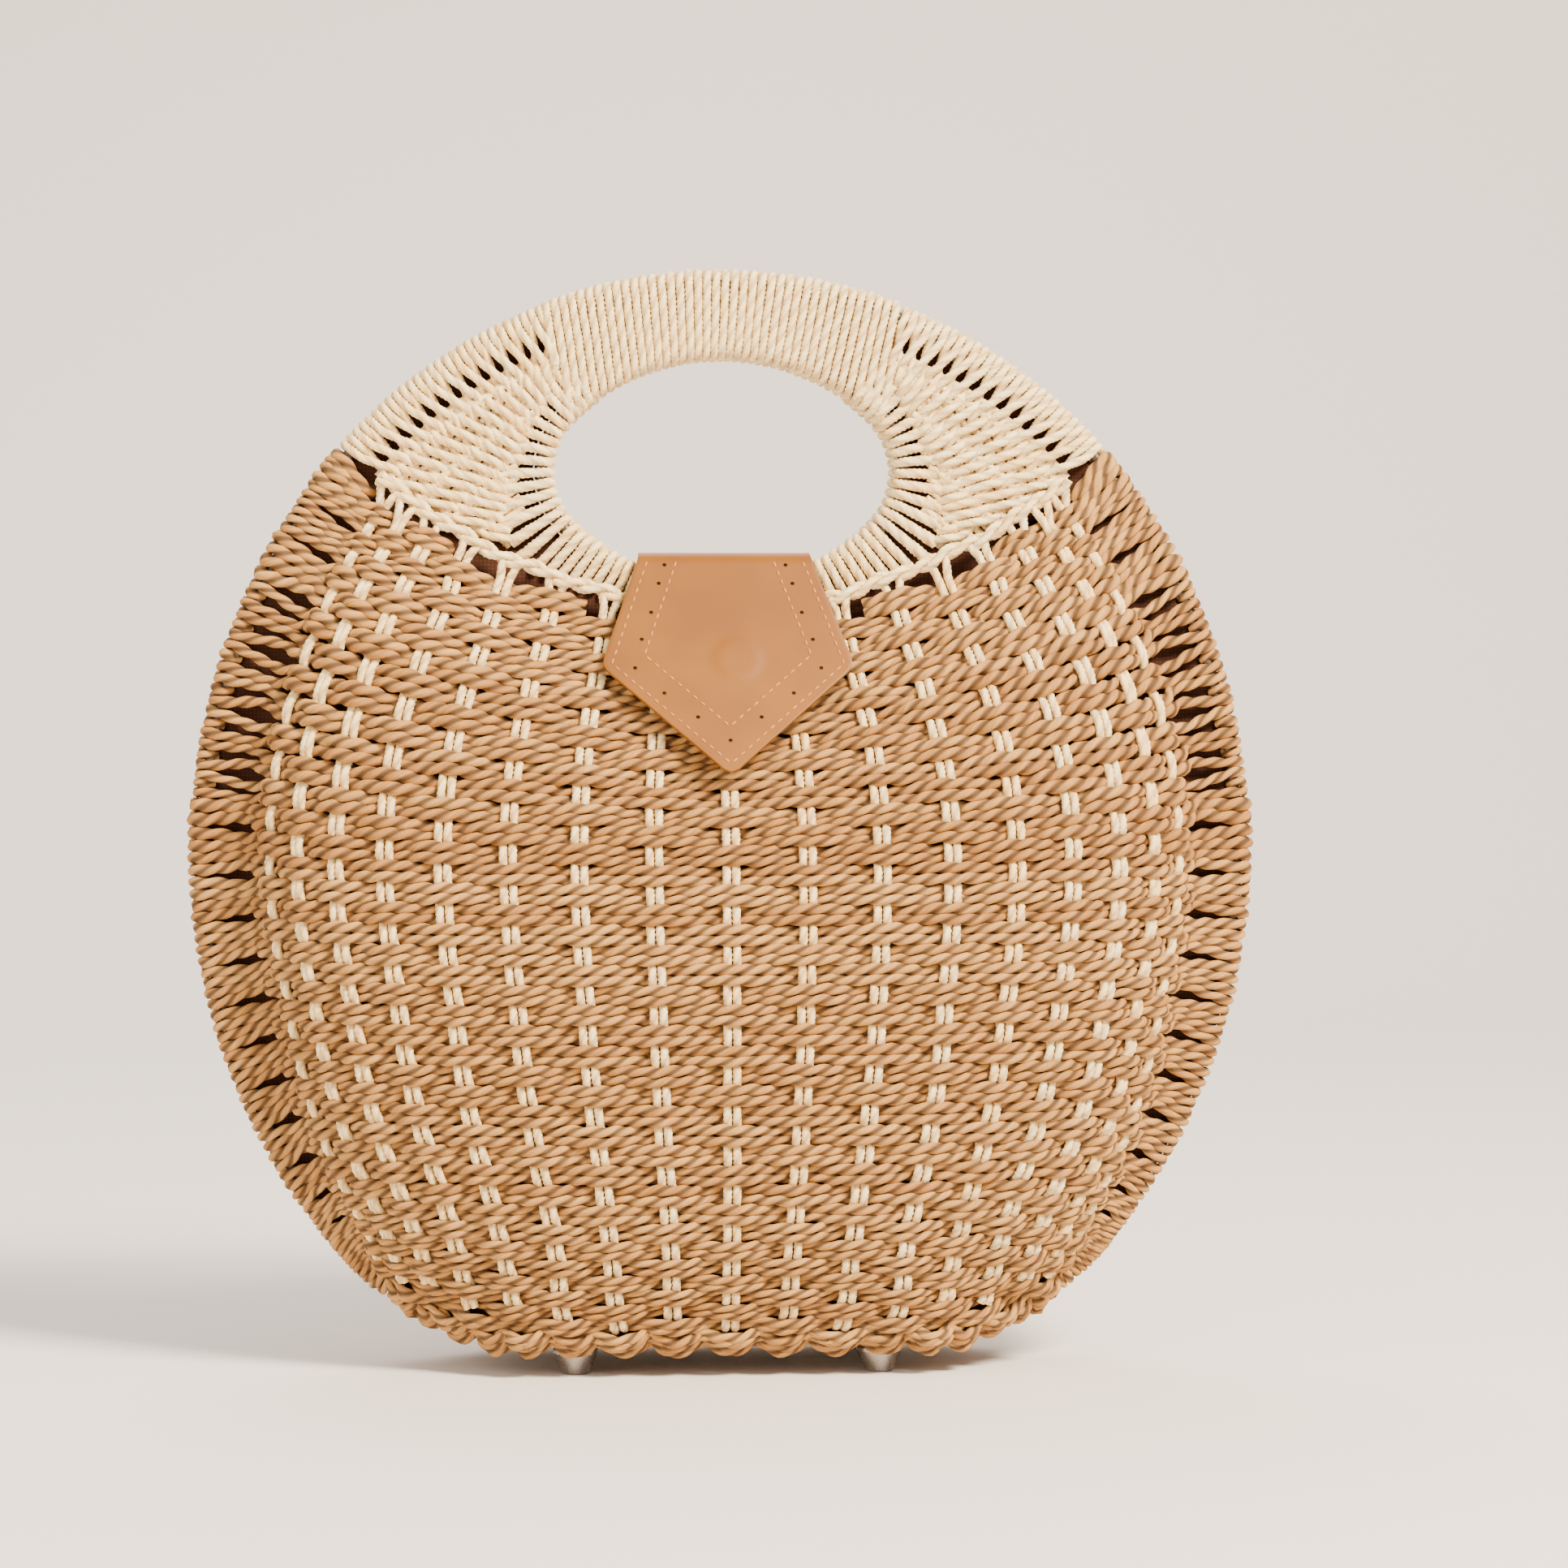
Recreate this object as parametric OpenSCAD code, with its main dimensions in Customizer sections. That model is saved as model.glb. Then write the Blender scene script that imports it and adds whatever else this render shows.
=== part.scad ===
// Round woven bag in two domed halves on wire rims, lashed together along the bottom.
// A leather flap on the back half folds over the hand hole's lower edge and snaps to the front half.
// +Z up, +Y to the back, origin on the ground midway between the four feet.

/* [Bag] */
// Width across the rims
bag_w = 312; // [300:1:324]
// Height from the ground to the top of the handle
bag_h = 320; // [314:1:332]
// Distance of the widest point below the top
crown_h = 170; // [164:1:176]
// Depth of one half, from the seam to its fullest point
half_depth = 52; // [48:1:58]
// Radius of the lower corners, seen from the front
corner_r = 74; // [64:1:80]
// How far the widest point stands out past the straight bottom
belly_over = 98.2; // [94:0.1:102]

/* [Hand hole] */
// Width of the hand hole
hole_w = 98; // [90:1:102]
// Height of the hand hole
hole_h = 64; // [60:1:66]
// Height of the grip over the hand hole
grip_h = 27; // [25:1:30]

/* [Wire, rope and cord] */
// Diameter of the steel wire in the rims
wire_d = 3.5; // [3:0.1:4]
// Diameter of the paper rope
rope_d = 3.2; // [2.8:0.1:3.6]
// Diameter of the cotton cord
cord_d = 2.4; // [2:0.1:2.8]
// Thickness of the woven wall
wall = 6; // [5:0.1:7]
// Width of the flat flange between rim and dome
flange_w = 18; // [14:0.5:20]
// Width of the cord binding round the hand hole
hole_band = 8.5; // [7:0.1:9]
// Width of the cord binding on the rim beside the grip
binding_w = 12; // [10:0.1:13]
// Gap between the two halves
seam_gap = 1; // [0.8:0.1:1.6]

/* [Handle] */
// Half the angle of the rim that the grip covers
grip_deg = 21; // [18:0.5:24]
// Turns of cord round the grip
grip_turns = 24; // [12:1:24]
// Diameter of the cord wound round the grip
grip_cord_d = 2.6; // [2.2:0.1:2.9]

/* [Base and feet] */
// Height of the metal feet
foot_h = 7; // [5:0.5:9]
// Diameter of a foot under the base
foot_top_d = 13; // [11:0.5:15]
// Diameter of a foot on the ground
foot_tip_d = 9; // [7:0.5:10]
// Distance of the feet from the ends of the straight bottom
foot_in = 13.8; // [10:0.1:18]
// Distance of the feet from the seam
foot_y = 24; // [21:0.5:27]
// Distance of the base's front edge from the seam
base_front = 38; // [36:0.5:42]
// Thickness of the woven base
base_t = 5; // [4:0.5:6]

/* [Hinge lashings] */
// Spacing of the cord lashings between the two bottom wires
lash_pitch = 26; // [20:1:30]
// Width of one lashing
lash_w = 8; // [6:0.5:9]

/* [Flap] */
// Width of the flap over the fold
flap_top_w = 49; // [44:1:52]
// Greatest width of the flap
flap_w = 73; // [66:1:76]
// Drop from the fold to the shoulders
shoulder_drop = 31; // [26:1:34]
// Drop from the fold to the tip
flap_drop = 63; // [58:1:66]
// Thickness of the face leather
leather_t = 1.2; // [1:0.1:1.4]
// Thickness of the leather facing behind it
facing_t = 1; // [0.8:0.1:1.2]
// Length of the tail down the back
tail_l = 34; // [28:1:36]

/* [Magnetic snap] */
// Diameter of the snap
snap_d = 16; // [14:0.5:18]
// Thickness of the half on the flap
stud_t = 1.5; // [1.2:0.1:1.8]
// Thickness of the half on the weave
socket_t = 2.4; // [2:0.1:2.6]
// Distance of the snap from the fold, down the flap
snap_drop = 28; // [26:0.5:30]

/* [Lining] */
// Thickness of the lining cloth
lining_t = 1; // [0.8:0.1:1.4]
// Width of one leaf of a side gusset
gusset_w = 26; // [20:1:30]

/* [Hidden] */
$fn = 48;

// Clearances and overruns
gap = 0.3;          // between pieces that seat on each other
bore_gap = 0.1;     // round a wire or screw that is held
run_gap = 0.06;     // round the wire that turns in its lashings
tight_gap = 0.02;   // round the wire that its lashings grip
lining_gap = 0.8;   // between the weave and its lining
cut = 1;            // overrun of a cut

// Colours
straw = [0.79, 0.63, 0.42];
cream = [0.93, 0.86, 0.74];
tan_leather = [0.79, 0.59, 0.38];
steel = [0.45, 0.45, 0.46];
nickel = [0.72, 0.71, 0.69];
cloth = [0.62, 0.47, 0.34];

// Wire and rim places, measured from the outline and from the seam
wire_r = wire_d / 2;
wire_in = rope_d + wire_r;                  // rim wire's centre, in from the outline
wire_y = seam_gap / 2 + wire_in;            // wires' distance from the seam
rim_front = wire_y + wire_in;               // face of the flange, from the seam
cord_in = cord_d + wire_r;                  // hole wire's centre, out from the hole's edge
seat_y = rim_front + gap;                   // where the dome stands on the flange
base_z = foot_h;

// Outline: a crown arc, two side arcs, two lower side arcs, two corner arcs and a straight bottom, all tangent
half_w = bag_w / 2;
belly_z = bag_h - crown_h;
hole_z = bag_h - grip_h - hole_h / 2;
blend_deg = 36;                             // normal's angle where the crown meets the side
crown_spread = (crown_h - half_w) / (sin(blend_deg) + cos(blend_deg) - 1);
crown_r = crown_h - crown_spread * sin(blend_deg);
side_r = crown_r + crown_spread;
crown_c = [0, bag_h - crown_r];
side_c = [half_w - side_r, belly_z];
corner_c = [half_w - belly_over, base_z + corner_r];
low_h = belly_z - corner_c.y;
low_r = (pow(belly_over, 2) + pow(low_h, 2) - pow(corner_r, 2)) / 2 / (belly_over - corner_r);
low_c = [half_w - low_r, belly_z];
corner_deg = asin(low_h / (low_r - corner_r));

function arc_c(t) = t > blend_deg ? crown_c : t > 0 ? side_c : t > -corner_deg ? low_c : corner_c;
function arc_r(t) = t > blend_deg ? crown_r : t > 0 ? side_r : t > -corner_deg ? low_r : corner_r;
// Point of the right side of the outline whose normal is at angle t, moved in by inset
function rim_pt(t, inset = 0) = arc_c(t) + (arc_r(t) - inset) * [cos(t), sin(t)];
function flip(p) = [-p.x, p.y];

// Hand hole: an oval of four tangent arcs
hole_blend = 45;
hole_spread = (hole_h - hole_w) / 2 / (sin(hole_blend) + cos(hole_blend) - 1);
hole_crown_r = hole_h / 2 - hole_spread * sin(hole_blend);
hole_side_r = hole_crown_r + hole_spread;
hole_crown_off = hole_h / 2 - hole_crown_r;
hole_side_off = hole_w / 2 - hole_side_r;
// Point of the hole's edge whose outward normal is at angle t, moved out by out
function quad_pt(q, out) = q > hole_blend
    ? [(hole_crown_r + out) * cos(q), hole_crown_off + (hole_crown_r + out) * sin(q)]
    : [hole_side_off + (hole_side_r + out) * cos(q), (hole_side_r + out) * sin(q)];
function hole_pt(t, out = 0) =
    let (p = quad_pt(atan2(abs(sin(t)), abs(cos(t))), out))
    [sign(cos(t)) * p.x, hole_z + sign(sin(t)) * p.y];

// Point of the hole's upper edge at x, moved out by out
function hole_top(x, out) =
    let (crown = hole_crown_r + out, side = hole_side_r + out)
    [x, hole_z + (abs(x) <= crown * cos(hole_blend)
        ? hole_crown_off + sqrt(pow(crown, 2) - pow(x, 2))
        : sqrt(pow(side, 2) - pow(abs(x) - hole_side_off, 2)))];

// Where the grip, the cream part and the straw part of the rim meet
grip_hole_share = 0.95;                     // grip's half-width at the hole, as a share of the hole's
grip_rim_deg = 90 - grip_deg;               // grip's end on the rim
grip_hole_x = grip_hole_share * hole_w / 2;
grip_end = grip_cord_d / 2 + 4 * gap;       // room that the grip's last turn takes up beyond its middle
band_rim_deg = grip_rim_deg - 180 / PI * grip_end / crown_r;
band_hole_deg = acos((grip_hole_x - hole_side_off) / (hole_side_r + cord_in))
    - 180 / PI * grip_end / (hole_side_r + cord_in);
straw_deg = 41;                             // straw rope starts below this angle on the rim
flange_full_deg = -15;                      // the flange narrows below this angle
flange_end_deg = -62;                       // and is gone at this one

function clamp01(v) = min(1, max(0, v));
function smooth(v) = let (c = clamp01(v)) c * c * (3 - 2 * c);
// Width of the visible flange where the outline's normal is at angle t
function flange_at(t) = flange_w * clamp01((t - flange_end_deg) / (flange_full_deg - flange_end_deg));

// Dome: depth grows from its foot on the flange to the full depth
dome_share = 0.8;
dome_c = [0, dome_share * belly_z];         // rays of the grid start here
full_share = 0.6;
full_z = full_share * belly_z;              // full depth up to this height
border_z = hole_z - hole_h / 2 - hole_band - gap;   // top of the straw weave under the hole
fade_over = 11;                             // depth would be back to the seat this far over the border
edge_power = 3.5;
fade_power = 2.2;
base_turn_deg = 90 + flange_end_deg;        // the base's corner turns within this angle
junction = rim_pt(straw_deg, flange_w);     // where border and flange meet
function border_at(x) = border_z + (junction.y - border_z) * pow(x / junction.x, 2);
// Distance of the dome's foot from the seam
function foot_depth(t) = seat_y + (base_front - seat_y) * smooth((base_turn_deg - 90 - t) / base_turn_deg);
// Full depth at a point of the front view, less a thickness
function full_depth(p, less) =
    let (
        top = border_at(p.x) + fade_over,
        fade = pow(clamp01((p.y - full_z) / (top - full_z)), fade_power)
    )
    seat_y + max(0, (half_depth - seat_y) * (1 - fade) - less);
function swell(k) = sqrt(1 - pow(k, edge_power));
// Depth of the dome's middle line at height z
function mid_depth(z) = seat_y + (full_depth([0, z], 0) - seat_y) * swell((z - dome_c.y) / (border_z - dome_c.y));

// Right half of the dome's foot from the bottom's middle to the border's middle: [x, z, depth, under the border]
bottom_shares = [0, 0.35, 0.7];
corner_steps = concat([for (i = [0 : 6]) -90 + base_turn_deg * i / 6], [-55, -47]);
side_steps = [-39, -30, -21, -12, -3, 6, 15, 24, 33];
border_shares = [1, 0.88, 0.74, 0.6, 0.46, 0.32, 0.16];
function foot_row(t) = let (p = rim_pt(t, flange_at(t))) [p.x, p.y, foot_depth(t), 0];
foot_right = concat(
    [for (s = bottom_shares) [s * corner_c.x, base_z, base_front, 0]],
    [for (t = corner_steps) foot_row(t)],
    [for (t = side_steps) foot_row(t)],
    [for (s = border_shares) [s * junction.x, border_at(s * junction.x), seat_y, 1]],
    [[0, border_z, seat_y, 1]]
);
last = len(foot_right) - 1;
foot_loop = concat(foot_right, [for (i = [last - 1 : -1 : 1]) let (f = foot_right[i]) [-f.x, f.y, f.z, f[3]]]);
weave_ring_shares = [1, 0.985, 0.95, 0.9, 0.82, 0.7, 0.5, 0.25];
lining_ring_shares = [1, 0.95, 0.82, 0.5];

// One point of the dome, drawn in by inset, by drop more under the border, and less deep by less
function dome_pt(f, k, inset, drop, less) =
    let (
        ray = [f.x, f.y] - dome_c,
        p = dome_c + ray * (1 - (inset + drop * f[3]) / norm(ray)) * k,
        d = f.z + max(0, full_depth(p, less) - f.z) * swell(k)
    )
    [p.x, -d, p.y];
function dome_ring(k, inset, drop, less) = [for (f = foot_loop) dome_pt(f, k, inset, drop, less)];

// A closed skin through rings of equal length. Rings run so that the skin faces outwards.
module skin(rings) {
    m = len(rings[0]);
    n = len(rings);
    sides = [
        for (i = [0 : n - 2], j = [0 : m - 1])
            let (a = i * m, b = a + m, k = (j + 1) % m)
            each [[a + j, a + k, b + j], [a + k, b + k, b + j]]
    ];
    caps = concat(
        [for (j = [1 : m - 2]) [0, j + 1, j]],
        [for (j = [1 : m - 2]) [(n - 1) * m, (n - 1) * m + j, (n - 1) * m + j + 1]]
    );
    polyhedron([for (r = rings) each r], concat(sides, caps), convexity = 8);
}

// A domed shell between two offsets from the weave's outside
module dome_shell(rings, off_out, off_in, drop) {
    rings_out = [for (k = rings) dome_ring(k, off_out, drop, off_out)];
    rings_in = [for (i = [len(rings) - 1 : -1 : 0]) dome_ring(rings[i], off_in, drop, off_in)];
    m = len(foot_loop);
    n = len(rings);
    points = concat(
        [for (r = rings_out) each r],
        [[dome_c.x, -full_depth(dome_c, off_out), dome_c.y]],
        [[dome_c.x, -full_depth(dome_c, off_in), dome_c.y]],
        [for (r = rings_in) each r]
    );
    tip = n * m;
    start = tip + 2;
    faces = concat(
        [for (i = [0 : n - 2], j = [0 : m - 1])
            let (a = i * m, b = a + m, k = (j + 1) % m)
            each [[a + j, b + j, a + k], [a + k, b + j, b + k]]],
        [for (j = [0 : m - 1]) [(n - 1) * m + j, tip, (n - 1) * m + (j + 1) % m]],
        [for (j = [0 : m - 1]) [tip + 1, start + j, start + (j + 1) % m]],
        [for (i = [0 : n - 2], j = [0 : m - 1])
            let (a = start + i * m, b = a + m, k = (j + 1) % m)
            each [[a + j, b + j, a + k], [a + k, b + j, b + k]]],
        [for (j = [0 : m - 1])
            let (a = start + (n - 1) * m, k = (j + 1) % m)
            each [[a + j, j, a + k], [a + k, j, k]]]
    );
    polyhedron(points, faces, convexity = 10);
}

// One ring of a binding: round its wire on the open edge, flat at the other end.
// edge is a point of the open edge, dir points from it to the wire and on to the far end.
fold_degs = [-90, -45, 0, 45, 90];
sock_gap = 0.35;                            // room for the wire in its binding
function fold_ring(edge, dir, centre_in, cover, width, back_y) =
    let (r = wire_r + cover, front_y = -wire_y - r, far = edge + width * dir)
    concat(
        [for (a = fold_degs) let (p = edge + (centre_in - r * cos(a)) * dir) [p.x, -wire_y + r * sin(a), p.y]],
        [for (y = [back_y, (back_y + front_y) / 2, front_y]) [far.x, y, far.y]]
    );
function sock_ring(edge, dir, centre_in) =
    let (r = (wire_r + sock_gap) / cos(180 / 8))
    [for (j = [0 : 7]) let (a = -90 + 45 * j, p = edge + (centre_in - r * cos(a)) * dir)
        [p.x, -wire_y + r * sin(a), p.y]];

// A hollow folded band through matching outer and inner rings
module folded_band(outer, inner) {
    m = len(outer[0]);
    n = len(outer);
    points = concat([for (r = outer) each r], [for (r = inner) each r]);
    in0 = n * m;
    faces = concat(
        [for (i = [0 : n - 2], j = [0 : m - 1])
            let (a = i * m, b = a + m, k = (j + 1) % m)
            each [[a + j, b + j, a + k], [a + k, b + j, b + k]]],
        [for (i = [0 : n - 2], j = [0 : m - 1])
            let (a = in0 + i * m, b = a + m, k = (j + 1) % m)
            each [[a + j, a + k, b + j], [a + k, b + k, b + j]]],
        [for (j = [0 : m - 1]) let (k = (j + 1) % m) each [[j, k, in0 + j], [k, in0 + k, in0 + j]]],
        [for (j = [0 : m - 1])
            let (a = (n - 1) * m, b = in0 + a, k = (j + 1) % m)
            each [[a + j, b + j, a + k], [a + k, b + j, b + k]]]
    );
    polyhedron(points, faces, convexity = 8);
}

module front() children();
module back() mirror([0, 1, 0]) children();
module both_sides() {
    children();
    mirror([1, 0, 0]) children();
}

// Two lengths of wire meet inside a short swell, a hair thicker than the wire
swell_l = 2;
swell_t = 0.08;
butt_gap = 0.4;
function butt_deg(r) = 90 / PI * butt_gap / r;

// Part of a ring of wire in the plane of the rims
module wire_arc(c, r, from, to) {
    translate([c.x, -wire_y, c.y])
        rotate([90, 0, 0])
            rotate([0, 0, from + butt_deg(r)])
                rotate_extrude(angle = to - from - 2 * butt_deg(r)) translate([r, 0]) circle(wire_r);
}
module wire_joint(c, r, t) {
    translate([c.x, -wire_y, c.y])
        rotate([90, 0, 0])
            rotate([0, 0, t])
                translate([r, swell_l / 2, 0]) rotate([90, 0, 0]) cylinder(r = wire_r + swell_t, h = swell_l);
}

module rim_wire() {
    color(steel) {
        wire_arc(crown_c, crown_r - wire_in, blend_deg, 180 - blend_deg);
        both_sides() {
            wire_joint(crown_c, crown_r - wire_in, blend_deg);
            wire_arc(side_c, side_r - wire_in, 0, blend_deg);
            wire_joint(side_c, side_r - wire_in, 0);
            wire_arc(low_c, low_r - wire_in, -corner_deg, 0);
            wire_joint(low_c, low_r - wire_in, -corner_deg);
            wire_arc(corner_c, corner_r - wire_in, -90, -corner_deg);
            wire_joint(corner_c, corner_r - wire_in, -90);
        }
        translate([-corner_c.x + butt_gap / 2, -wire_y, base_z + wire_in])
            rotate([0, 90, 0]) cylinder(r = wire_r, h = 2 * corner_c.x - butt_gap);
    }
}

module hole_wire() {
    top = [0, hole_z + hole_crown_off];
    bottom = [0, hole_z - hole_crown_off];
    right = [hole_side_off, hole_z];
    color(steel) {
        wire_arc(top, hole_crown_r + cord_in, hole_blend, 180 - hole_blend);
        wire_arc(bottom, hole_crown_r + cord_in, 180 + hole_blend, 360 - hole_blend);
        both_sides() {
            wire_arc(right, hole_side_r + cord_in, -hole_blend, hole_blend);
            for (t = [-1, 1] * hole_blend) wire_joint(right, hole_side_r + cord_in, t);
        }
    }
}

// Turns of rope or cord round the rim wire, from one angle to another on the right
module rim_fold(from, to, steps, cover, band, end_cover) {
    angles = [for (i = [0 : steps]) from + (to - from) * i / steps];
    least = wire_in + wire_r + cover;
    widths = [for (t = angles) max(least, band + (cover == rope_d ? flange_at(t) : 0))];
    back_y = -wire_y - wire_r - cover + 2 * end_cover;
    outer = [for (i = [0 : steps])
        let (t = angles[i]) fold_ring(rim_pt(t), -[cos(t), sin(t)], wire_in, cover, widths[i], back_y)];
    inner = [for (i = [0 : steps])
        let (t = angles[i]) sock_ring(rim_pt(t), -[cos(t), sin(t)], wire_in)];
    folded_band(outer, inner);
}

seat_w = wall + lining_gap + lining_t + gap;         // flange under the dome's and the lining's foot
// Angle that a gap takes up on an arc
function end_deg(r) = 180 / PI * gap / r;
module rim_winding() {
    color(straw) both_sides() rim_fold(-90 + end_deg(corner_r), straw_deg, 26, rope_d, seat_w, rope_d);
}

module rim_binding() {
    color(cream) both_sides() rim_fold(straw_deg + end_deg(crown_r), band_rim_deg, 8, cord_d, binding_w, cord_d);
}

module hole_binding() {
    steps = 30;
    lower = [for (i = [0 : steps]) band_hole_deg - (180 + 2 * band_hole_deg) * i / steps];
    back_y = -wire_y - wire_r - cord_d + 2 * cord_d;
    color(cream) folded_band(
        [for (t = lower) fold_ring(hole_pt(t), [cos(t), sin(t)], cord_in, cord_d, hole_band, back_y)],
        [for (t = lower) sock_ring(hole_pt(t), [cos(t), sin(t)], cord_in)]
    );
}

// Flat cream webs between rim, hole and dome
web_t = 2 * cord_d;
web_foot_shares = [0, 0.2, 0.4, 0.6, 0.75, 0.88];
module corner_webs() {
    outer_w = binding_w + gap;
    inner_w = hole_band + gap;
    rim_side = [for (i = [0 : 6]) rim_pt(straw_deg + end_deg(crown_r) + (band_rim_deg - straw_deg) * i / 7, outer_w)];
    hole_side = [for (i = [0 : 12]) hole_pt(band_hole_deg - (band_hole_deg + 90) * i / 12, inner_w)];
    foot_side = [for (s = web_foot_shares) [s * junction.x, border_at(s * junction.x) - seat_w]];
    straw_corner = rim_pt(straw_deg + end_deg(crown_r), seat_w + flange_w + gap);
    color(cream) both_sides()
        translate([0, -rim_front + web_t, 0])
            rotate([90, 0, 0])
                linear_extrude(web_t) polygon(concat(rim_side, hole_side, foot_side, [straw_corner]));
}

// Filler strip between the two wires inside the grip
module grip_core() {
    out_in = wire_in + wire_r + gap;
    in_out = cord_in + wire_r + gap;
    rim_side = [for (i = [0 : 12]) let (t = grip_rim_deg + 2 * grip_deg * i / 12) rim_arc_top(t, out_in)];
    hole_side = [for (i = [0 : 12]) hole_top((i / 6 - 1) * grip_hole_x, in_out)];
    color(straw)
        translate([0, -wire_y + wire_r, 0])
            rotate([90, 0, 0])
                linear_extrude(wire_d) polygon(concat(rim_side, hole_side));
}
function rim_arc_top(t, inset) = crown_c + (crown_r - inset) * [cos(t), sin(t)];

// Cord wound round grip core and wires: one unbroken tube
grip_r = grip_cord_d / 2;
wind_gap = 0.45;                            // room between the wound cord and the wires
wind_r = wire_r + wind_gap + grip_r;        // cord's centre from a wire's centre
wind_degs = [-90, -45, 0, 45, 90];
wind_n = 12;                                // points of one turn
slant_share = 0.01;
function wind_at(u) =
    let (
        turn = floor(u), v = (u - turn) * wind_n, s = u / grip_turns,
        t_rim = 90 + grip_deg - 2 * grip_deg * s,
        o = rim_arc_top(t_rim, wire_in), i = hole_top((2 * s - 1) * grip_hole_x, cord_in),
        d = (o - i) / norm(o - i), w = wind_step(round(v) % wind_n),
        c = w[0] < 0 ? i : w[0] > 0 ? o : (i + o) / 2,
        p = c + wind_r * w[1] / (w[0] < 0 ? hole_slant(i.x, d) : 1) * d
    )
    [p.x, -wire_y + wind_r * w[2], p.y];
// How squarely a turn in direction d crosses the hole's wire at x
function hole_slant(x, d) =
    let (step = slant_share * hole_w, t = unit(hole_top(x + step, cord_in) - hole_top(x - step, cord_in)))
    abs(d.x * t.y - d.y * t.x);
// Share of a turn: [which wire, outwards, towards the back]
function wind_step(j) =
    j == 0 ? [0, 0, -1] : j == 6 ? [0, 0, 1] :
    j < 6 ? [1, cos(wind_degs[j - 1]), sin(wind_degs[j - 1])] :
    [-1, -cos(wind_degs[j - 7]), -sin(wind_degs[j - 7])];
grip_path = [for (i = [0 : wind_n * grip_turns]) wind_at(i / wind_n)];
function unit(v) = v / norm(v);
function tube_ring(p, dir, side, r, m) =
    let (a = unit(cross(dir, side)), b = cross(a, dir))
    [for (j = [0 : m - 1]) p + r * (cos(360 * j / m) * a + sin(360 * j / m) * b)];
// Least distance between neighbouring turns, less the cord's thickness
grip_gap = min([for (i = [wind_n : len(grip_path) - 1]) norm(grip_path[i] - grip_path[i - wind_n])]) - grip_cord_d;
echo(least_gap_between_grip_turns = grip_gap);

module grip_winding() {
    n = len(grip_path);
    axis = [1, 0, 0];
    color(cream) skin([for (i = [0 : n - 1])
        let (
            before = grip_path[max(0, i - 1)], after = grip_path[min(n - 1, i + 1)],
            dir = unit(after - before)
        )
        tube_ring(grip_path[i], dir, axis, grip_r, 6)]);
}

module weave() {
    color(straw) dome_shell(weave_ring_shares, 0, wall, 0);
}

lining_drop = 2 * wall;                     // the lining starts this far under the weave's border
module lining() {
    color(cloth) dome_shell(lining_ring_shares, wall + lining_gap, wall + lining_gap + lining_t, lining_drop);
}

// Base: flat between the corners, its ends curved up along the outline
base_half = corner_c.x;
base_degs = [for (i = [0 : 6]) -90 + base_turn_deg * i / 6];
function mirrored(v) = concat([for (i = [len(v) - 1 : -1 : 0]) flip(v[i])], v);
base_layers = 3;                            // the curved ends step back under the leaning weave
// Angle by which the weave's foot has moved on, at height h over the outline
lean_share = 1.42;
function lean_deg(p, h) = lean_share * 180 / PI * h * p.x / (dome_c.y - p.y) / corner_r;
function base_edge(h) = mirrored([for (t = base_degs)
    let (p = rim_pt(t)) [p.x, -max(seat_y, foot_depth(t + lean_deg(p, h)) - 2 * gap)]]);
function base_line(inset) = mirrored([for (t = base_degs) rim_pt(t, inset)]);
notch_w = lash_w + 2 * gap;
lash_n = 1 + floor((2 * base_half - notch_w) / lash_pitch);
function lash_x(i) = (i - (lash_n - 1) / 2) * lash_pitch;
lash_r = wire_r + cord_d;                   // outside of a lashing
screw_r = 1.5;
screw_clear = 0.15;

module at_feet() {
    for (x = [-1, 1] * (base_half - foot_in)) translate([x, -foot_y, 0]) children();
}

module base() {
    hinge_z = base_z + wire_in;
    color(straw) difference() {
        union() {
            for (i = [0 : base_layers - 1]) let (low = base_t * i / base_layers, high = base_t * (i + 1) / base_layers)
                intersection() {
                    translate([0, -seat_y, 0]) rotate([90, 0, 0])
                        linear_extrude(base_front) polygon(concat(base_line(low), reversed(base_line(high))));
                    linear_extrude(belly_z) polygon(base_edge(high));
                }
            translate([-base_half, -seat_y - base_t, base_z]) cube([2 * base_half, seat_y + base_t - wire_y, base_t]);
            translate([-base_half, -wire_y, hinge_z]) rotate([0, 90, 0]) cylinder(r = wire_in, h = 2 * base_half);
        }
        translate([-half_w, -wire_y, hinge_z]) rotate([0, 90, 0]) cylinder(r = wire_r + bore_gap, h = bag_w);
        for (i = [0 : lash_n - 1])
            translate([lash_x(i) - notch_w / 2, -wire_y - lash_r - 2 * gap, base_z - cut])
                cube([notch_w, 2 * (lash_r + wire_y), 2 * wire_in + 2 * cut]);
        at_feet() translate([0, 0, base_z - cut]) cylinder(r = screw_r + screw_clear, h = base_t + 2 * cut);
    }
}

// Feet, their screws and washers
screw_bite = 4;
head_r = 3;
head_h = 2;
washer_r = 5;
washer_t = 1;
foot_round = 1.2;
foot_collar = 1;
module feet() {
    tip = foot_tip_d / 2;
    top = foot_top_d / 2;
    color(nickel) at_feet() difference() {
        rotate_extrude() polygon([
            [0, 0], [tip - foot_round, 0], [tip - foot_round * 0.3, foot_round * 0.3], [tip, foot_round],
            [top, foot_h - foot_collar], [top, foot_h], [0, foot_h]
        ]);
        translate([0, 0, foot_h - screw_bite]) cylinder(r = screw_r + bore_gap, h = screw_bite + cut);
    }
}

screw_top = base_z + base_t + washer_t;
module foot_screws() {
    low = foot_h - screw_bite + gap;
    color(steel) at_feet() {
        translate([0, 0, low]) cylinder(r = screw_r, h = screw_top - low);
        translate([0, 0, screw_top]) cylinder(r = head_r, h = head_h);
    }
}

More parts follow.
